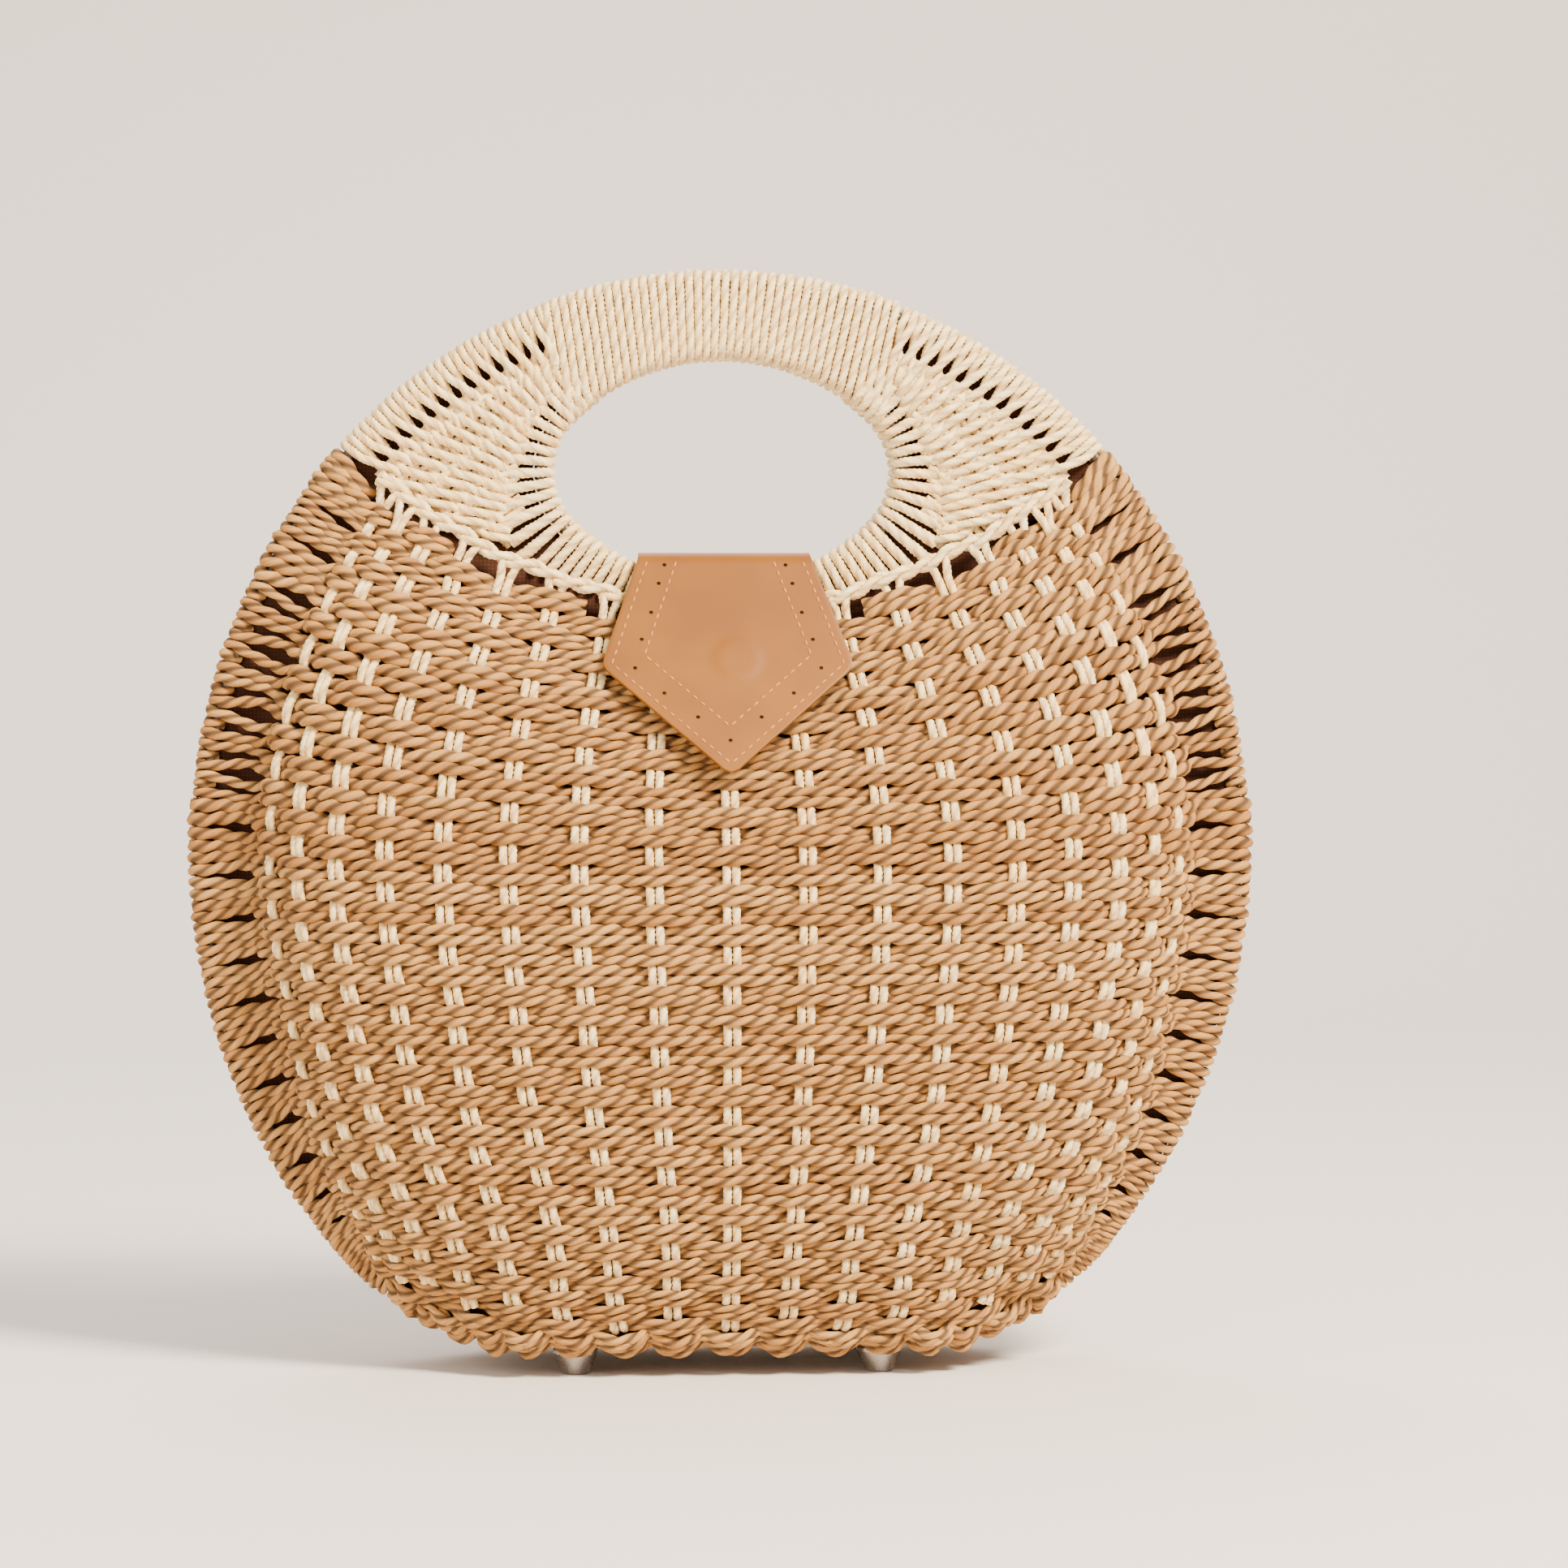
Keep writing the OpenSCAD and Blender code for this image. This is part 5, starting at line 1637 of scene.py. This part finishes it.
@dataclass
class Strap:
    """Leather strap: riveted down the back, over both rims, and down the front as the flap."""

    top_width: float = 49.0
    greatest: float = 73.0
    fold_z: float = 234.934
    shoulder_drop: float = 33.0
    drop: float = 63.0
    tip_r: float = 3.5
    tip_share: float = 0.217
    corner_soft: float = 1.2
    slope_deg: float = 28.5
    tail_deg: float = 33.0
    tail_bend_z: float = 222.5
    tail_down: float = 19.266
    bend_r: float = 4.0
    edge_y: float = 11.6
    leather: float = 1.2
    facing: float = 1.0
    snap: tuple[float, float] = (3.0, 206.0)
    snap_r: float = 6.5
    snap_soft: float = 0.5
    snap_lift: float = 0.22
    punch_r: float = 0.62
    holes: tuple[tuple[float, float], ...] = (
        (17.6, 3.6), (19.4, 9.0), (21.8, 17.4), (24.7, 25.2), (26.8, 33.4), (18.6, 40.6), (9.1, 47.4))
    tip_hole: float = 54.0
    stitch_pitch: float = 3.0
    stitch_length: float = 1.9
    stitch_thick: float = 0.7
    stitch_in: float = 2.6
    second_row: float = 10.6
    tail_row_x: float = 21.6

    @property
    def top_z(self) -> float:
        """Top face of the leather over the rims."""
        return self.fold_z + self.leather + self.facing

    @property
    def slope(self) -> float:
        """Angle of the hanging flap from the upright, in radians."""
        return math.radians(self.slope_deg)

    @property
    def out(self) -> Array:
        """Direction straight out of the hanging flap's face."""
        return np.array([0.0, -math.cos(self.slope), math.sin(self.slope)])

    def profile(self, off: float) -> Array:
        """Side view of the strap at a distance off from its underside: y and z from tail to tip.

        Args:
            off: The distance in millimetres.

        Returns:
            The points in millimetres.
        """
        tail = math.radians(self.tail_deg)
        low = np.array([self.edge_y + off, self.tail_bend_z])
        end = low + np.array([math.sin(tail), -math.cos(tail)]) * self.tail_down
        centre = np.array([self.edge_y - self.bend_r, self.fold_z - self.bend_r])
        back, front = (np.radians(np.linspace(*arc)) for arc in ((0, 90, 10), (90, 180 - self.slope_deg, 8)))
        back = centre + (self.bend_r + off) * joined(np.cos(back), np.sin(back))
        front = centre * (-1, 1) + (self.bend_r + off) * joined(np.cos(front), np.sin(front))
        fall = (front[-1, 1] - (self.top_z - self.drop)) / math.cos(self.slope)
        tip = front[-1] - fall * np.array([math.sin(self.slope), math.cos(self.slope)])
        return np.array([end, low, *back, *front, tip])

    def half_width(self, z: Array) -> Array:
        """Half the flap's width at height z, with rounded shoulders and tip.

        Args:
            z: Heights in millimetres.

        Returns:
            The half widths in millimetres.
        """
        upper, lower = self.edges(z, 0.0)
        soft = self.corner_soft
        join = -soft * np.log(np.exp(-upper / soft) + np.exp(-lower / soft))
        low = z - (self.top_z - self.drop)
        tip = np.sqrt(np.maximum(0, 2 * self.tip_r * low - low * low))
        return np.where(low < self.tip_share * self.tip_r, tip, join)

    def edges(self, z: Array, inset: float) -> tuple[Array, Array]:
        """Half widths at height z that the side edge and the lower edge give, each moved in by inset.

        Args:
            z: Heights in millimetres.
            inset: Distance in from both edges.

        Returns:
            The two arrays of half widths.
        """
        side = (self.greatest - self.top_width) / 2 / self.shoulder_drop
        point_z = self.top_z - self.drop - 0.277 * self.tip_r
        under = self.greatest / 2 / (self.top_z - self.shoulder_drop - point_z)
        upper = self.top_width / 2 + side * (self.top_z - z) - inset * math.hypot(1, side)
        return upper, under * (z - point_z) - inset * math.hypot(1, under)

    def sheet(self, off: float, shrink: float) -> tuple[Array, int, int]:
        """Grid over the whole strap at a distance off from its underside, with its rows and columns.

        Args:
            off: The distance in millimetres.
            shrink: How much narrower it is on each side.

        Returns:
            The points in millimetres, the number of rows and the number of columns.
        """
        y, z = spaced(self.profile(off), 150).T
        flap = self.half_width(np.minimum(z, self.top_z))
        width = np.maximum(np.where(y < 0, flap, self.top_width / 2 - 0.3) - shrink, 0.15)
        across = np.linspace(-1, 1, 61)
        return joined(width[:, None] * across, y[:, None], z[:, None]).reshape(-1, 3), len(y), len(across)

    def build(self) -> None:
        """Makes the leather, its facing, the holes and the stitches."""
        for name, off, thick, shrink, finish, slot, nodes in (
            ("strap_leather", self.facing + self.leather / 2, self.leather, 0.0, STRAP_LEATHER, "leather",
             ("flap_leather", "flap_tail")),
            ("strap_facing", self.facing / 2, self.facing - 0.04, 0.25, SUEDE, "facing", ("flap_facing",)),
        ):
            points, rows, columns = self.sheet(off, shrink)
            if finish is STRAP_LEATHER:
                points = self.pressed(points)
            piece = mesh_piece(name, points * MM, grid_faces(rows, columns), finish)
            self.edge_rounded(thickened(piece, thick))
            if finish is STRAP_LEATHER:
                self.punch(piece)
            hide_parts(*nodes)
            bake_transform(piece)
            log.info("%s: %d faces", piece.name, len(piece.data.polygons))
        rows = [self.seam_line(self.stitch_in), self.seam_line(self.second_row)]
        self.stitched("flap_stitches", rows, 240, "flap")
        self.stitched("tail_stitches", self.tail_rows(), 60, "back_shell")

    def pressed(self, points: Array) -> Array:
        """Raises the leather a little over the snap.

        Args:
            points: Points of the leather in millimetres.

        Returns:
            The changed points.
        """
        x, y, z = points.T
        away = np.hypot(x - self.snap[0], (z - self.snap[1]) / math.cos(self.slope))
        lift = self.snap_lift / (1 + np.exp((away - self.snap_r) / self.snap_soft))
        lift = np.where((z < self.fold_z - 6) & (y < 0), lift, 0)
        return points + lift[:, None] * self.out

    @staticmethod
    def edge_rounded(piece: bpy.types.Object) -> None:
        """Rounds the cut edge of a sheet that has a thickness, as a plain mesh.

        Args:
            piece: The sheet.
        """
        bevel = piece.modifiers.new("edge", "BEVEL")
        bevel.width = 0.3 * MM
        bevel.segments = 2
        bevel.limit_method = "ANGLE"
        bevel.angle_limit = math.radians(50)
        outward(applied(piece).data)

    def on_flap(self, x: Array | float, z: Array | float) -> Array:
        """Points of the flap's front face at x and z, in millimetres.

        Args:
            x: Places across, in millimetres.
            z: Heights in millimetres.

        Returns:
            The points.
        """
        line = self.profile(self.facing + self.leather)
        front = line[line[:, 0] < 0]
        front = front[np.argsort(front[:, 1])]
        return joined(x, np.interp(z, front[:, 1], front[:, 0]), z)

    def punch(self, piece: bpy.types.Object) -> None:
        """Cuts small round holes through the leather, in pairs and one at the tip.

        Args:
            piece: The leather.
        """
        work = bmesh.new()
        turn = Vector(self.out).to_track_quat("Z", "Y").to_matrix().to_4x4()
        for x, drop in [(s * x, drop) for x, drop in self.holes for s in (1, -1)] + [(0.0, self.tip_hole)]:
            turn.translation = Vector(self.on_flap(x, self.top_z - drop)) * MM
            bmesh.ops.create_cone(work, cap_ends=True, segments=12, radius1=self.punch_r * MM,
                                  radius2=self.punch_r * MM, depth=4 * MM, matrix=turn)
        mesh = bpy.data.meshes.new("punch")
        work.to_mesh(mesh)
        work.free()
        tool = placed("punch", mesh)
        cut = piece.modifiers.new("holes", "BOOLEAN")
        cut.object = tool
        cut.operation = "DIFFERENCE"
        cut.solver = "EXACT"
        applied(piece)
        bpy.data.objects.remove(tool)
        piece.data.polygons.foreach_set("use_smooth", [True] * len(piece.data.polygons))
        piece.data.set_sharp_from_angle(angle=math.radians(40))

    def seam_line(self, inset: float) -> Array:
        """A stitch row at a distance in from the flap's edge, from the top left round the tip.

        Args:
            inset: The distance in millimetres.

        Returns:
            Points of the row in millimetres.
        """
        z = np.linspace(self.top_z - self.drop - 2, self.fold_z - 1.2, 400)
        width = np.minimum(*self.edges(z, inset))
        right = joined(width, z)[width > 0.0]
        return self.on_flap(*np.concatenate([mirrored(right[::-1]), right]).T)

    def tail_rows(self) -> list[Array]:
        """A stitch row down each side of the tail and one across its end.

        Returns:
            The three rows' points in millimetres.
        """
        tail = self.profile(self.facing + self.leather)[:2]
        tail[0] += unit(tail[1] - tail[0]) * self.stitch_in
        sides = [joined(s * self.tail_row_x, *tail.T) for s in (-1, 1)]
        return [*sides, np.stack([side[0] for side in sides])]

    def stitched(self, name: str, lines: list[Array], count: int, body: str) -> None:
        """Makes one piece of stitches.

        Args:
            name: Name of the piece.
            lines: Points of each row in millimetres.
            count: Number of points to lay each row on.
            body: The CAD body that it rides on.
        """
        piece = grown(wire_mesh(name, [spaced(line, count) * MM for line in lines]), stitch_tree(), {
            "Pitch": self.stitch_pitch * MM, "Length": self.stitch_length * MM,
            "Thickness": self.stitch_thick * MM, "Finish": dressed(WAXED_THREAD)})
        settle(piece, body, "leather")


@dataclass
class Hinge:
    """Cord lashings between the bottom wires, and the side gussets."""

    wire_y: float = 5.45
    wire_z: float = 11.95
    wire_r: float = 1.75
    pitch: float = 26.0
    lashings: int = 5
    turns: int = 3
    turn_pitch: float = 2.6

    def lash(self) -> None:
        """Each lashing is one cord wound three turns round both bottom wires."""
        ring = self.wire_r + CORD_LAY.radius
        steps = 40
        turn = np.arange(self.turns * steps + 1) / steps
        out, y = round_wires(turn % 1, 2 * self.wire_y, ring, ring)
        x = (turn - self.turns / 2) * self.turn_pitch
        middles = (np.arange(self.lashings) - (self.lashings - 1) / 2) * self.pitch
        lines = [joined(middle + x, out - self.wire_y, self.wire_z + y * 0.96) * MM for middle in middles]
        rope_piece("hinge_cords", lines, LASHING_LAY, COTTON_CORD, 71, "back_shell", "hinge_lashings")

    def gussets(self) -> None:
        """Cloth folds at both sides, in the shape that the model gives them."""
        for word in ("left", "right"):
            name = f"{word}_gusset_cloth"
            mesh = bpy.data.objects[f"{word}_gusset"].data.copy()
            mesh.name = name
            outward(mesh)
            mesh.materials.clear()
            mesh.materials.append(dressed(LINING))
            cloth = placed(name, mesh)
            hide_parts(f"{word}_gusset")
            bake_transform(cloth)
            # Two leaves, each 26 mm wide and 142 mm long along its middle
            log.info("%s: %d faces", cloth.name, len(mesh.polygons))

    def build(self) -> None:
        """Makes the lashings and the gussets."""
        self.lash()
        self.gussets()


@dataclass(frozen=True)
class MetalParts:
    """CAD nodes whose shapes are right and only get their finish."""

    finishes: dict[str, Finish] = field(default_factory=lambda: {
        "feet": NICKEL, "foot_washers": NICKEL, "foot_screws": WIRE, "rim_wire": WIRE, "hole_wire": WIRE,
        "grip_core": PAPER_ROPE, "snap_socket": NICKEL, "snap_stud": NICKEL, "tail_rivets": NICKEL,
    })

    def build(self, nodes: dict[str, bpy.types.Object]) -> None:
        """Dresses the nodes that stay.

        Args:
            nodes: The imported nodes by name.
        """
        for name, obj in nodes.items():
            finish = self.finishes.get(name.removeprefix("front_").removeprefix("back_"))
            if finish is None or obj.hide_render:
                continue
            if obj.material_slots:
                for held in obj.material_slots:
                    held.material = dressed(finish)
            else:
                obj.data.materials.append(dressed(finish))
            log.info("%s: dressed in %s", name, finish.name)


# Camera, floor and light

def aimed(obj: bpy.types.Object, place: Vector, at: Vector) -> None:
    """Puts a camera or a lamp in a place and turns it towards a point.

    Args:
        obj: The camera or lamp.
        place: Where it goes, in metres.
        at: The point.
    """
    obj.location = place
    obj.rotation_mode = "QUATERNION"
    obj.rotation_quaternion = (at - place).to_track_quat("-Z", "Y")


@dataclass(frozen=True)
class Studio:
    """Pale floor, soft light and the camera at the photograph's angle."""

    distance: float = 1.55
    yaw_deg: float = -4.0
    rise_deg: float = 1.6
    picture_mm: float = 460.0
    sensor_mm: float = 36.0
    aim: tuple[float, float, float] = (0.0181, 0.0, 0.1695)
    bag_middle: tuple[float, float, float] = (0.0, 0.0, 0.16)
    sky: str = "#F4F0EC"
    sky_strength: float = 0.97

    def camera(self) -> None:
        """The camera stands left of the middle and a little above the bag's centre."""
        data = bpy.data.cameras.new("photo_camera")
        data.sensor_width = self.sensor_mm
        data.lens = self.sensor_mm / (self.picture_mm * MM / self.distance)
        camera = placed("photo_camera", data)
        yaw, rise = math.radians(self.yaw_deg), math.radians(self.rise_deg)
        away = Vector((math.sin(yaw) * math.cos(rise), -math.cos(yaw) * math.cos(rise), math.sin(rise)))
        aimed(camera, Vector(self.aim) + away * self.distance, Vector(self.aim))
        bpy.context.scene.camera = camera

    def backdrop(self) -> None:
        """Floor that curves up into a wall far behind the bag."""
        back, front, wide, tall, bend = 2.2, -3.0, 4.0, 3.0, 0.9
        turn = np.linspace(0.1, 1.57, 14)
        curve = joined(back - bend + bend * np.sin(turn), bend - bend * np.cos(turn))
        side = [(front, 0.0), (back - bend, 0.0), *curve, (back, tall)]
        points = np.array([(x, y, z) for y, z in side for x in (-wide, wide)])
        faces = [(n, n + 1, n + 3, n + 2) for n in range(0, len(points) - 2, 2)]
        mesh_piece("studio_floor", points, faces, PALE_FLOOR)

    def light(self, name: str, place: tuple[float, float, float], size: float, watts: float,
              colour: str) -> None:
        """A square soft light aimed at the bag.

        Args:
            name: Name of the lamp.
            place: Where it hangs, in metres.
            size: Side of its square, in metres.
            watts: Its power.
            colour: Its sRGB hex colour.
        """
        data = bpy.data.lights.new(name, "AREA")
        data.shape = "SQUARE"
        data.size = size
        data.energy = watts
        data.color = linear(colour)[:3]
        aimed(placed(name, data), Vector(place), Vector(self.bag_middle))

    def build(self) -> None:
        """Sets up the floor, the lights and the sky light."""
        self.backdrop()
        self.light("key_light", (1.1, -1.4, 1.75), 0.7, 210, "#FFF0DC")
        self.light("fill_light", (-1.6, -1.3, 0.8), 1.6, 32, "#FFEFDC")
        self.light("rim_light", (-0.3, 1.3, 1.6), 1.2, 24, "#FFFFFF")
        world = bpy.data.worlds.new("studio_air")
        bpy.context.scene.world = world
        world.use_nodes = True
        air = world.node_tree
        feed(air, air.nodes["Background"], {0: linear(self.sky), 1: self.sky_strength})


def main() -> None:
    """Builds the bag piece by piece and reports each one."""
    logging.basicConfig(level=logging.INFO, format="%(name)s: %(message)s")
    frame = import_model()
    studio = Studio()
    studio.camera()
    for side in Side:
        WovenShell(side).build()
        CreamWork(side).build()
    Strap().build()
    Hinge().build()
    MetalParts().build(frame["nodes"])
    studio.build()


if __name__ == "__main__":
    main()
